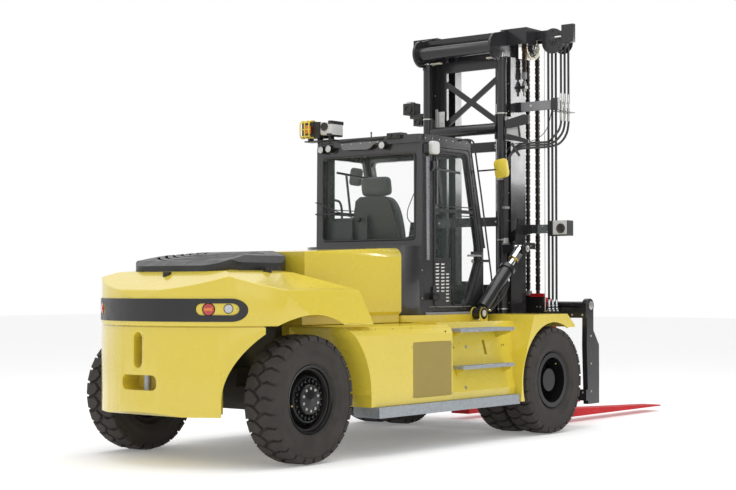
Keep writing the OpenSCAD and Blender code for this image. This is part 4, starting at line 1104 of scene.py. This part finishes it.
def add_leaf_chain(bm, pins, width, plates=9):
    """Link plates and pins through a row of pin places that lie in one side plane."""
    step = width / plates / 1000
    for n, (start, end) in enumerate(zip(pins, pins[1:])):
        along = (end - start).normalized()
        above = along.cross(Y_AXIS)
        outline = []
        for centre, first in ((start, 90), (end, -90)):
            for k in range(6):
                angle = math.radians(first + 36 * k)
                outline.append(centre + CHAIN_HALF / 1000 * (math.cos(angle) * along
                                                             + math.sin(angle) * above))
            waist = (start + end) / 2 + above * CHAIN_HALF / 1000 * (-0.66 if first > 0 else 0.66)
            outline.append(waist)
        for k in range(n % 2, plates, 2):
            low = (k - plates / 2) * step
            add_rings(bm, [[p + Y_AXIS * (low + 0.0002) for p in outline],
                           [p + Y_AXIS * (low + step - 0.0004) for p in outline]])
    for pin in pins:
        add_turned(bm, pin - Y_AXIS * (width / 2 + 2) / 1000, Y_AXIS,
                   [(0, 5), (1, 6.5), (width + 3, 6.5), (width + 4, 5)], 8)


def chain_material(name, rust_low, rust_high):
    """Oily dark steel that turns to rust between two heights in metres."""
    material, tree, shader, place = start_material(name)
    parts = tree.nodes.new("ShaderNodeSeparateXYZ")
    tree.links.new(place, parts.inputs[0])
    height = spread(tree, parts.outputs[2], 1, 0, rust_low, rust_high)
    spots = spread(tree, noise(tree, place, 30, 5), 0.0, 1.0, 0.42, 0.6)
    grease = mix_colours(tree, spread(tree, noise(tree, place, 7), 0, 1), (0.030, 0.024, 0.020),
                         (0.075, 0.058, 0.045))
    rust = math_node(tree, "MULTIPLY", height, spots)
    tree.links.new(mix_colours(tree, rust, grease, (0.26, 0.105, 0.045)),
                   shader.inputs["Base Color"])
    tree.links.new(spread(tree, noise(tree, place, 40), 0.35, 0.7), shader.inputs["Roughness"])
    shader.inputs["Metallic"].default_value = 0.35
    bump(tree, shader, noise(tree, place, 350), 0.0004)
    return material


chain_steel = chain_material("chain_steel", 0.0, 0.01)
rusty_chain = chain_material("rusty_chain", 4.16, 4.00)
wheel_rim = finish_recipe("wheel_rim", (0.80, 0.76, 0.62), (0.66, 0.62, 0.50), (0.28, 0.42), 12,
                          200, 0.0002, metal=0.25)
front_bm, rear_bm, rim_bm, web_bm, bolt_bm = (bmesh.new() for _ in range(5))
rear_pins = [z for z in range(WHEEL_Z - 7 * 44, WHEEL_Z + 1, 44)]
front_count = 61
for way in (1, -1):
    y = way * CHAIN_Y
    add_leaf_chain(rear_bm, [at(CHAIN_BACK, y, z) for z in rear_pins], CHAIN_WIDTH)
    over = [at(WHEEL_X - CHAIN_RADIUS * math.cos(math.pi * i / 9), y,
               WHEEL_Z + CHAIN_RADIUS * math.sin(math.pi * i / 9)) for i in range(10)]
    down = [at(CHAIN_FRONT, y, WHEEL_Z - (WHEEL_Z - CARRIAGE_END) * i / front_count)
            for i in range(1, front_count + 1)]
    add_leaf_chain(front_bm, over + down, CHAIN_WIDTH)
    inner = [at(INNER_CHAIN_X, way * INNER_CHAIN_Y, 4330 - 44.5 * i) for i in range(65)]
    add_leaf_chain(front_bm, inner, 40)
    hub, outward = at(WHEEL_X, y, WHEEL_Z), Y_AXIS * way
    add_ring(rim_bm, hub, outward, [(-35, 138), (-30, 138), (-23, 115.6), (23, 115.6), (30, 138),
                                    (35, 138), (35, 123), (12, 106), (-12, 106), (-35, 123)], 64)
    add_turned(web_bm, hub, outward, [(-12, 20), (-12, 107), (12, 107), (12, 64), (34, 60),
                                      (37, 54), (37, 20)], 48)
    for count, reach, lift, size in ((8, 0.084, 0.012, 13), (6, 0.040, 0.055, 11)):
        for turn in full_turn(count):
            spot = hub + Vector((math.cos(turn), 0, math.sin(turn))) * reach + outward * lift
            add_bolt(bolt_bm, spot, outward, size)
    add_turned(bolt_bm, hub + outward * 0.054, outward, [(0, 18), (10, 18), (13, 12)], 24)
HOSE_X = 584
hose_spots = (HOSE_X - 78, HOSE_X, HOSE_X + 78)
GROOVE = ((-16, 100), (-14, 82), (-9, 71), (0, 67), (9, 71), (14, 82), (16, 100))
pulley = [(0, 25), (0, 100)]
for x in hose_spots:
    middle = x - 478.3
    pulley += [(middle + d, r) for d, r in GROOVE]
pulley += [(211.4, 100), (211.4, 25)]
HOSE_Z, HOSE_MID, HOSE_RADIUS = 4212, -970, 80
add_turned(web_bm, at(478.3, HOSE_MID, HOSE_Z), X_AXIS, pulley, 56)
for turn in full_turn(8):
    spot = at(466, HOSE_MID + 108 * math.cos(turn), HOSE_Z + 108 * math.sin(turn))
    add_bolt(web_bm, spot, -X_AXIS, 12)
add_turned(web_bm, at(466, HOSE_MID, HOSE_Z), -X_AXIS, [(0, 44), (8, 44), (11, 36), (11, 22),
                                                      (24, 20), (26, 8)], 28)
add_rod(bolt_bm, at(452, -1012, 4244), at(452, -1092, 4244), 14)
start, end = at(CHAIN_FRONT, 0, WHEEL_Z), at(CHAIN_FRONT, 0, CARRIAGE_END)
chain_front = finish("lift_chains_linked", front_bm, chain_steel, None, ["lift_chains"])
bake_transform(chain_front)
chain_rear = finish("lift_chain_ends_linked", rear_bm, rusty_chain, None, ["chain_tails"])
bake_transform(chain_rear)
finish("chain_wheel_rims", rim_bm, wheel_rim, "mast_inner", ["mast_wheels"])
finish("chain_wheel_webs", web_bm, cast_black, "mast_inner")
finish("mast_head_bolts", bolt_bm, zinc_bolt, "mast_inner")
bm, grey_bm = bmesh.new(), bmesh.new()
for way in (1, -1):
    spot = at(CHAIN_BACK, way * CHAIN_Y, 0)
    for low, high, radius, sides in ((3640, 3696, 14, 16), (3690, 3722, 30, 6), (3748, 3780, 32, 6),
                                     (3784, 3800, 24, 6)):
        add_turned(bm, spot + Z_AXIS * low / 1000, Z_AXIS,
                   [(0, radius * 0.9), (3, radius), (high - low - 3, radius),
                    (high - low, radius * 0.9)], sides)
    y = way * CHAIN_Y
    add_block(grey_bm, (454, y - 25, 3826), (494, y + 25, 3900))
    y = way * INNER_CHAIN_Y
    add_block(grey_bm, (668, y - 24, 1440), (731, y + 24, 1492))
finish("chain_anchor_nuts", bm, zinc_bolt, "mast_outer")
finish("chain_anchor_clevis", grey_bm, machine_grey, "mast_outer", rounded=3)
print("plates in the front chains:", len(chain_front.data.polygons) // 16)

# %% [markdown]
# ## Hoses on the mast
#
# Three pressure hoses feed the carriage. They leave a clamp on the fixed mast, run up over their
# own wheels and down to the carriage, so they pay out with the chains. Their ends are pressed into
# bright sleeves. Below the clamp they sweep back in an easy curve and drop down behind the mast. A
# hose is a tube along a smooth line, and a thin pale cable hangs beside them.

# %% Hoses, sleeves and the hose sweep
front_bm, rear_bm, sleeve_bm, cable_bm = (bmesh.new() for _ in range(4))
for x in hose_spots:
    line = [at(x, HOSE_MID + HOSE_RADIUS, z) for z in (1380, 1900, 2500, 3100, 3700, HOSE_Z)]
    line += [at(x, HOSE_MID + HOSE_RADIUS * math.cos(math.pi * i / 12),
                HOSE_Z + HOSE_RADIUS * math.sin(math.pi * i / 12)) for i in range(1, 13)]
    add_tube(front_bm, line, 12.5, 12)
    add_tube(rear_bm, [at(x, HOSE_MID - HOSE_RADIUS, z) for z in (3560, 3800, 4000, HOSE_Z)], 12.5,
             12)
    add_turned(sleeve_bm, at(x, HOSE_MID + HOSE_RADIUS, 1290), Z_AXIS,
               [(0, 21), (16, 21), (17, 14), (30, 14), (31, 20), (44, 20), (46, 15), (100, 15.5),
                (104, 13)], 18)
    for y in (-22, 22):
        add_turned(sleeve_bm, at(x, HOSE_MID + HOSE_RADIUS + y * 0.2, 1270), Z_AXIS,
                   [(0, 19), (14, 19), (16, 15)], 6)
front_hoses = finish("mast_hoses_front", front_bm, hose_rubber, None, ["lift_hoses"])
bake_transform(front_hoses)
rear_hoses = finish("mast_hoses_rear", rear_bm, hose_rubber, None, ["hose_tails"])
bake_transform(rear_hoses)
finish("hose_sleeves_carriage", sleeve_bm, bright_rod, "fork_carriage")
add_tube(cable_bm, [at(472, -862, z) for z in (1276, 2000, 2800, 3500, 4136)], 4.5, 8)
cable = finish("mast_cable", cable_bm, pale_plastic, None)
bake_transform(cable)
sweep_bm, sleeve_bm, grey_bm = (bmesh.new() for _ in range(3))
for i, x in enumerate(hose_spots):
    lift = 27 * (1 - i)
    line = [at(x, -1050, 3440), at(x, -1050, 3330), at(x - 30, -1040, 3220 + lift * 0.6),
            at(x - 90 - 10 * i, -1000, 3125 + lift), at(430, -930, 3084 + lift),
            at(300, -800, 3070 + lift), at(205, -695, 3050 + lift * 0.9),
            at(158 - 12 * i, -628, 2960 + lift * 0.4), at(150 - 24 * i, -594, 2800),
            at(146 - 26 * i, -586, 2500), at(146 - 26 * i, -586, 2036)]
    add_tube(sweep_bm, smooth_path(line, 6), 12.5, 10)
    add_turned(sleeve_bm, at(x, -1050, 3340), Z_AXIS, [(0, 13.5), (3, 15), (88, 15), (92, 18),
                                                     (100, 18)], 16)
    add_turned(sleeve_bm, at(x, -1050, 3446), Z_AXIS, [(0, 16), (40, 16), (42, 11), (92, 11),
                                                     (94, 16), (130, 16), (133, 14), (190, 14),
                                                     (193, 13)], 16)
    add_turned(sleeve_bm, at(146 - 26 * i, -586, 2000), Z_AXIS, [(0, 18), (20, 18), (22, 15),
                                                               (60, 15), (62, 13)], 16)
thin = [at(452, -968, 3560), at(446, -960, 3420), at(410, -920, 3240), at(340, -840, 3140),
        at(250, -740, 3100), at(180, -650, 3080), at(140, -590, 3000), at(64, -580, 2800),
        at(64, -578, 2500)]
add_tube(sweep_bm, smooth_path(thin, 6), 4, 8)
stub = [at(140, -652, 3090), at(138, -705, 3010), at(138, -750, 2950)]
add_tube(sweep_bm, smooth_path(stub, 4), 15, 10)
finish("hose_sweep", sweep_bm, hose_rubber, "mast_outer")
finish("hose_sleeves_mast", sleeve_bm, zinc_bolt, "mast_outer")
add_block(grey_bm, (74, -604, 1990), (166, -566, 2010))
for z in (2380, 2780):
    add_block(grey_bm, (78, -604, z), (168, -568, z + 26))
finish("hose_clips", grey_bm, machine_grey, "mast_outer", rounded=2)
print("hoses on the mast done")

# %% [markdown]
# ## Sensors and bolts on the mast
#
# The arms on the mast carry sensor heads: a pale face plate with a round black window, in a black
# cover. The arms are bolted, and so are the flanges of the mast. These are small turned parts and
# plates, placed where a fitter would reach them.

# %% Sensor heads and mast bolts
MAST_BACK, LIFT_Y = 262, 500
teal_grey = finish_recipe("teal_grey", (0.10, 0.125, 0.13), (0.13, 0.155, 0.16), (0.4, 0.55), 4,
                          160, 0.0003)
cover_bm, face_bm, window_bm, bolt_bm, arm_bm, grey_bm, dark_bm = (bmesh.new() for _ in range(7))
add_block(cover_bm, (336, -1222, 2083), (469, -976, 2248))
add_block(arm_bm, (360, -975, 2117), (440, -790, 2208))
add_plate(face_bm, round_outline(328, 336, 2096, 2246, 3), (-1218, -1050))
add_turned(window_bm, at(328, -1150, 2162), -X_AXIS,
           [(0, 52), (12, 52), (17, 44), (10, 36), (8, 8)], 36)
for y in (-1206, -1064):
    for z in (2108, 2236):
        add_turned(bolt_bm, at(328, y, z), -X_AXIS, [(0, 6), (3, 6), (5, 3)], 10)
for y, z in ((-800, 2190), (-900, 2190), (-960, 2130)):
    add_bolt(bolt_bm, at(356, y, z), -X_AXIS, 12)
for y, z, wide, high in ((900, 3592, 78, 66), (770, 3440, 60, 50), (592, 3428, 56, 52)):
    add_block(window_bm, (345, y - wide, z - high), (475, y + wide, z + high))
    add_turned(window_bm, at(345, y, z - 6), -X_AXIS, [(0, high * 0.8), (12, high * 0.8),
                                                       (16, high * 0.62), (4, high * 0.5), (3, 4)],
               28)
add_blocks(face_bm, [((352, 868, 3659), (440, 934, 3676)), ((246, 322, 3330), (258, 404, 3512)),
                     ((360, 640, 3372), (420, 700, 3384))])
add_block(grey_bm, (400, -985, 3462), (460, -604, 3560))
add_blocks(dark_bm, [((372, 560, 3478), (440, 900, 3530)), ((398, -604, 3458), (462, -560, 3564)),
                     ((398, -1072, 3448), (452, -985, 3580)),
                     ((452, -1004, 3470), (700, -990, 3556)),
                     ((440, -1112, 3434), (700, -990, 3442)),
                     ((284, -838, 2114), (400, -790, 2207)),
                     ((130, -572, 3120), (262, -556, 3390))])
for z in (3380, 3460):
    add_turned(window_bm, at(246, 350, z), -X_AXIS, [(0, 6), (3, 6), (4, 3)], 10)
add_cross_plate(dark_bm, [(-560, 2135), (-701, 2207), (-838, 2207), (-838, 2114), (-722, 2090),
                          (-560, 2015)], (262, 284))
for outline in (
        [(-556, 3340), (-556, 3270), (-610, 3256), (-869, 3288), (-874, 3381), (-812, 3394)],
        [(-556, 3140), (-556, 3190), (-610, 3193), (-737, 3158), (-868, 3114), (-868, 3079),
         (-599, 3131)],
        [(-728, 3275), (-746, 3275), (-766, 3150), (-746, 3150)]):
    add_cross_plate(dark_bm, outline, (130, 150))
add_turned(face_bm, at(160, -628, 3233), -X_AXIS, [(-4, 108), (0, 112), (3, 108)], 48)
add_bolt(bolt_bm, at(400, -731, 3511), -X_AXIS, 20)
for way in (1, -1):
    for z in range(1300, 4000, 300):
        for y in (455, 530):
            add_bolt(bolt_bm, at(MAST_BACK, way * y, z + (60 if y > 500 else 0)), -X_AXIS, 9)
    for z in (1480, 2250, 3060, 3090):
        add_bolt(bolt_bm, at(232, way * 380, z), -X_AXIS, 14)
    for z in (1290, 2040, 2700, 3420):
        y = way * LIFT_Y
        add_ring(bolt_bm, at(180, y, z), Z_AXIS, [(0, 53), (0, 57), (14, 57), (14, 53)], 40)
        add_block(bolt_bm, (196, y - 20, z + 2), (MAST_BACK, y + 20, z + 12))
finish("sensor_brackets", dark_bm, black_paint, "mast_outer", ["sensor_arms"], rounded=3)
finish("clamp_arm", grey_bm, machine_grey, "mast_outer", rounded=4)
finish("sensor_covers", cover_bm, black_plastic, "mast_outer", rounded=6)
finish("sensor_faces", face_bm, pale_plastic, "mast_outer", rounded=1)
finish("sensor_windows", window_bm, cast_black, "mast_outer", rounded=3)
finish("mast_arm_and_clamps", arm_bm, teal_grey, "mast_outer")
finish("mast_bolts", bolt_bm, zinc_bolt, "mast_outer")
gland_bm, pale_bm, line_bm = (bmesh.new() for _ in range(3))
for way in (1, -1):
    add_ring(gland_bm, at(180, way * LIFT_Y, 4033), Z_AXIS, [(0, 33), (0, 50), (9, 50), (11, 46),
                                                        (11, 33)], 40)
    add_block(pale_bm, (150, way * 310, 4040), (196, way * 450, 4058))
    for y, low, high in ((398, 2360, 3540), (418, 2360, 3540), (438, 1500, 3300)):
        add_tube(line_bm, [at(224, way * y, low), at(224, way * y, high)], 6, 8)
finish("lift_glands", gland_bm, cast_black, "mast_outer")
finish("mast_head_strips", pale_bm, wheel_rim, "mast_inner", rounded=3)
finish("mast_oil_lines", line_bm, zinc_bolt, "mast_outer")
print("sensor heads and bolts done")

# %% [markdown]
# ## Tilt cylinders
#
# Two slanting cylinders push the mast upright. Each has a glossy gland where the rod comes out, a
# brass ring on the rod, a black cap with a pale washer on its lower pin, and a pair of short hoses
# under the barrel. The rings are turned about the cylinder's own slanting axis, and each rides
# with the part it sits on. The brass ring sits far enough up that it clears the gland at full
# tilt.

# %% Rings, washers and hoses of the tilt cylinders
foot, head = Vector((-680, 0, 1262)), Vector((120, 0, 1945))
TILT_MIDDLE = 770
tilt_way = (head - foot).normalized()
tilt_under = Vector((tilt_way.z, 0, -tilt_way.x))


def on_cylinder(side, along, under=0.0, out=0.0):
    """A place on a tilt cylinder: along its axis, under it, and outward from its middle plane."""
    p = foot + tilt_way * along + tilt_under * under
    return at(p.x, SIDES[side] * (TILT_MIDDLE + out), p.z)


for side, out in SIDES.items():
    bm = bmesh.new()
    add_ring(bm, on_cylinder(side, 729), tilt_way,
             [(0, 36), (0, 62), (2, 62), (4, 58), (4, 36)], 40)
    finish(f"tilt_gland_{side}", bm, glossy_black, f"tilt_cylinder_{side}")
    bm = bmesh.new()
    add_ring(bm, on_cylinder(side, 862), tilt_way,
             [(0, 35), (0, 50), (4, 54), (14, 54), (14, 35)], 40)
    finish(f"tilt_rod_ring_{side}", bm, brass, f"tilt_piston_{side}")
    bm = bmesh.new()
    add_turned(bm, at(-680, out * 839, 1262), Y_AXIS * out, [(0, 34), (6, 34), (8, 30), (8, 20),
                                                             (5, 18), (5, 6)], 28)
    finish(f"tilt_foot_washer_{side}", bm, pale_plastic, "truck")
    bm = bmesh.new()
    add_turned(bm, at(-680, out * 833, 1262), Y_AXIS * out, [(0, 66), (5, 66), (7, 62)], 40)
    finish(f"tilt_foot_cap_{side}", bm, black_plastic, "truck")
    bm = bmesh.new()
    add_turned(bm, at(120, out * 856, 1945), Y_AXIS * out, [(0, 34), (8, 34), (10, 30), (10, 16),
                                                            (16, 15), (17, 6)], 28)
    add_bolt(bm, at(205, out * 846, 1975), Y_AXIS * out, 11)
    finish(f"tilt_head_washer_{side}", bm, zinc_bolt, "mast_outer")
    bm, sleeve = bmesh.new(), bmesh.new()
    for sway in (-24, 24):
        start = on_cylinder(side, 640, 78, sway)
        line = [start, on_cylinder(side, 560, 128, sway), on_cylinder(side, 420, 150, sway * 0.8),
                on_cylinder(side, 260, 130, sway * 0.6), on_cylinder(side, 150, 96, sway)]
        add_tube(bm, smooth_path(line), 9, 10)
        add_rod(sleeve, on_cylinder(side, 640, 66, sway), on_cylinder(side, 622, 96, sway), 12, 12)
        add_rod(sleeve, on_cylinder(side, 130, 66, sway), on_cylinder(side, 158, 100, sway), 12, 12)
    finish(f"tilt_hoses_{side}", bm, hose_rubber, f"tilt_cylinder_{side}")
    finish(f"tilt_hose_ends_{side}", sleeve, bright_rod, f"tilt_cylinder_{side}")
print("tilt cylinders done")

# %% [markdown]
# ## Carriage
#
# The forks hang on a round bar between two end plates. From behind one sees the bolts of those
# plates, the pivot caps and a red edge strip over the middle.

# %% Bolts and strips on the carriage
bm, red_bm = bmesh.new(), bmesh.new()
for way in (1, -1):
    add_block(red_bm, (694, way * 520, 1424), (732, way * 704, 1463))
    for y in (614, 659):
        add_bolt(bm, at(700, way * y, 1316), -X_AXIS, 12)
    for y in (760, 900, 1050, 1180):
        add_bolt(bm, at(720, way * y, 1230), -X_AXIS, 16)
        add_bolt(bm, at(720, way * y, 390), -X_AXIS, 16)
    for z in (1000, 700, 400):
        add_bolt(bm, at(820, way * 1225, z), Y_AXIS * way, 15)
    add_turned(bm, at(812, way * 1231, 1330), Y_AXIS * way, [(0, 44), (6, 44), (8, 38)], 32)
add_block(bm, (462, -880, 1262), (487, -852, 1278))
finish("carriage_bolts", bm, zinc_bolt, "fork_carriage")
finish("carriage_red_strip", red_bm, fork_red, "fork_carriage", rounded=3)
print("carriage done")

# %% [markdown]
# ## Mirrors, grab rails and cab corner
#
# The mirror shells are rounded boxes, turned a little towards the driver. A thin grab rail runs
# from the roof down past the front edge of each door and is held by one bracket at half height.
# The cab's rear corner post is a folded channel; the pale metal grey of its rounded strip is a
# painted highlight.

# %% Mirrors, rails and posts
for side, paint in (("right", yellow_paint), ("left", black_plastic)):
    flip = SIDES[side]
    turn = math.radians(9 * flip)
    rings = []
    for x, inset in ((-560, 6), (-556, 0), (-524, 0), (-506, 14), (-500, 30)):
        ring = []
        for p in round_outline(-78 + inset, 78 - inset, -98 + inset, 98 - inset, 40):
            ring.append(at(x, flip * 965 + p[0] * math.cos(turn) - p[1] * math.sin(turn),
                           2758 + p[0] * math.sin(turn) + p[1] * math.cos(turn)))
        rings.append(ring)
    bm = bmesh.new()
    add_rings(bm, rings)
    finish(f"mirror_shell_{side}", bm, paint, "truck", ["mirror_heads"] if side == "right" else ())
rail_bm, strip_bm, sill_bm, bolt_bm = (bmesh.new() for _ in range(4))
RAIL_Y, POST_Y = 705, 690
RAIL = ((-900, 3040), (-800, 3056), (-700, 3052), (-660, 3020), (-640, 2960), (-618, 2856),
        (-573, 2670), (-518, 2443), (-438, 2079), (-376, 1796), (-330, 1560), (-322, 1338))
for flip in (-1, 1):
    add_tube(rail_bm, smooth_path([at(x, flip * RAIL_Y, z) for x, z in RAIL], 4), 9, 10)
    add_tube(rail_bm, [at(-545, flip * POST_Y, 1806), at(-380, flip * RAIL_Y, 1806)], 14, 10)
    add_tube(rail_bm, smooth_path([at(-590, flip * 700, 2742), at(-570, flip * 800, 2745),
                                   at(-545, flip * 960, 2752)], 4), 9, 10)
    add_tube(rail_bm, [at(-900, flip * RAIL_Y, 3040), at(-900, flip * 660, 3040)], 9, 10)
    y = flip * POST_Y
    add_tube(strip_bm, [at(-1466, y, 2835), at(-1462, y, 2400), at(-1456, y, 1800)], 22, 16)
    add_rod(sill_bm, at(-1500, y, 1260), at(-690, y, 1260), 20, 14)
    add_block(sill_bm, (-1440, flip * CAB_SIDE, 1330), (-700, flip * (CAB_SIDE + 8), 1337))
    for z in (1420, 1700):
        add_bolt(bolt_bm, at(-1560, flip * 694, z), Y_AXIS * flip, 9)
finish("grab_rails", rail_bm, black_paint, "truck", ["mirror_rails"])
# painted highlight: the rounded strip on the corner post is pale metal grey to stand for the light
# band on the post
post_highlight_grey = finish_recipe("post_highlight_grey", (0.30, 0.29, 0.31), (0.24, 0.235, 0.25), (0.22, 0.3), 3,
                            200, 0.0001, metal=0.6)
finish("corner_post_highlight_strips", strip_bm, post_highlight_grey, "truck")
finish("door_sill_bars", sill_bm, machine_grey, "truck", rounded=2)
finish("corner_post_bolts", bolt_bm, zinc_bolt, "truck")
print("mirrors and rails done")

# %% [markdown]
# ## Panels of the flank
#
# Service panels close with flush round latches, a punched sheet held by small screws covers the
# air slots, and the step treads are punched up into teeth for grip. A rubber pad stands under each
# tilt bracket.

# %% Latches, screws and step teeth
latch_bm, dark_bm, pad_bm, teeth_bm, sheet_bm = (bmesh.new() for _ in range(5))


PANEL_FACE = 1200


def lean_y(z):
    """How far out the leaning panel stands at a height, both in millimetres."""
    return 1190 - 180 * max(0, z - 520) / 666


for flip in (-1, 1):
    outward = Vector((0, flip, 0.26)).normalized()
    for x, z in ((-1348, 942), (-1502, 555)):
        add_turned(latch_bm, at(x, flip * lean_y(z), z), outward,
                   [(0, 18), (3, 18), (4, 14.4), (4, 6), (2, 4.8)], 24)
    for x, z in ((-717, 943), (-679, 943), (-1560, 942)):
        add_turned(dark_bm, at(x, flip * lean_y(z), z), outward, [(0, 7), (3, 7), (4, 4)], 12)
    for x in (-2400, -1762):
        for z in (516, 743, 976):
            add_bolt(latch_bm, at(x, flip * PANEL_FACE, z), Y_AXIS * flip, 8)
    add_plate(sheet_bm, round_outline(-2385, -1775, 500, 1015, 12),
              (flip * (PANEL_FACE - 8), flip * (PANEL_FACE + 3)))
    add_turned(dark_bm, at(-1871, flip * PANEL_FACE, 1109), Y_AXIS * flip,
               [(0, 8), (3, 8), (4, 4)], 12)
    for x in (-3180, -2960, -2700, -2420):
        add_turned(dark_bm, at(x, flip * PANEL_FACE, 1150), Y_AXIS * flip, [(0, 5), (2, 5)], 10)
    add_turned(pad_bm, at(-716, flip * 800, 1141), Z_AXIS,
               [(0, 88), (4, 92), (24, 92), (32, 80)], 32)
    for height, start, reach in ((1095, -1685, 1010), (735, -1640, 1110)):
        for x in range(start + 30, -800, 60):
            for y in range(reach + 40, 1230, 60):
                add_turned(teeth_bm, at(x, flip * y, height), Z_AXIS, [(-1, 12), (6, 9), (4, 6)], 6)
finish("panel_latches", latch_bm, zinc_bolt, "truck")
finish("panel_plugs", dark_bm, black_plastic, "truck")
finish("grille_sheets", sheet_bm, punched_sheet, "truck", ["side_grilles"])
finish("bracket_pads", pad_bm, hose_rubber, "truck")
finish("step_teeth", teeth_bm, galvanised, "truck")
print("flank done")

# %% [markdown]
# ## Tail
#
# The tail casting carries a towing pin with a pull ring. The dark band over the casting is held by
# a row of small screws along its lower edge, spaced by the same angle all the way round.

# %% Pin ring and band screws
bm = bmesh.new()
hoop = [at(-4648 - 24 * math.cos(2 * math.pi * i / 16), 24 * math.sin(2 * math.pi * i / 16), 912)
        for i in range(17)]
add_tube(bm, hoop, 5, 8)
for angle in range(-56, 57, 14):
    place, outward = tail_place(angle, 1238, -3)
    add_turned(bm, place, outward, [(0, 6), (3, 6), (4, 3)], 12)
finish("tail_screws_and_ring", bm, zinc_bolt, "truck")
print("tail done")

# %% [markdown]
# ## Floor
#
# The truck stands on a plain pale floor that runs out of the picture. Studios light such a floor
# from below as well, so the recipe gets a faint glow: the floor then melts into the white room,
# and the shadow under the truck stays soft and grey instead of black.

# %% Floor under the truck
bm = bmesh.new()
add_rings(bm, [[Vector((x, y, z)) for x, y in ((-60, -60), (60, -60), (60, 60), (-60, 60))]
               for z in (-0.2, -0.0015)])
floor_finish = finish_recipe("studio_floor", (0.93, 0.93, 0.93), (0.90, 0.90, 0.90), (0.75, 0.85),
                             0.6, 30, 0.0002)
floor_shader = floor_finish.node_tree.nodes["Principled BSDF"]
floor_shader.inputs["Emission Color"].default_value = (1, 1, 1, 1)
floor_shader.inputs["Emission Strength"].default_value = 0.2
floor = finish("studio_floor", bm, floor_finish, None)
print("floor laid")
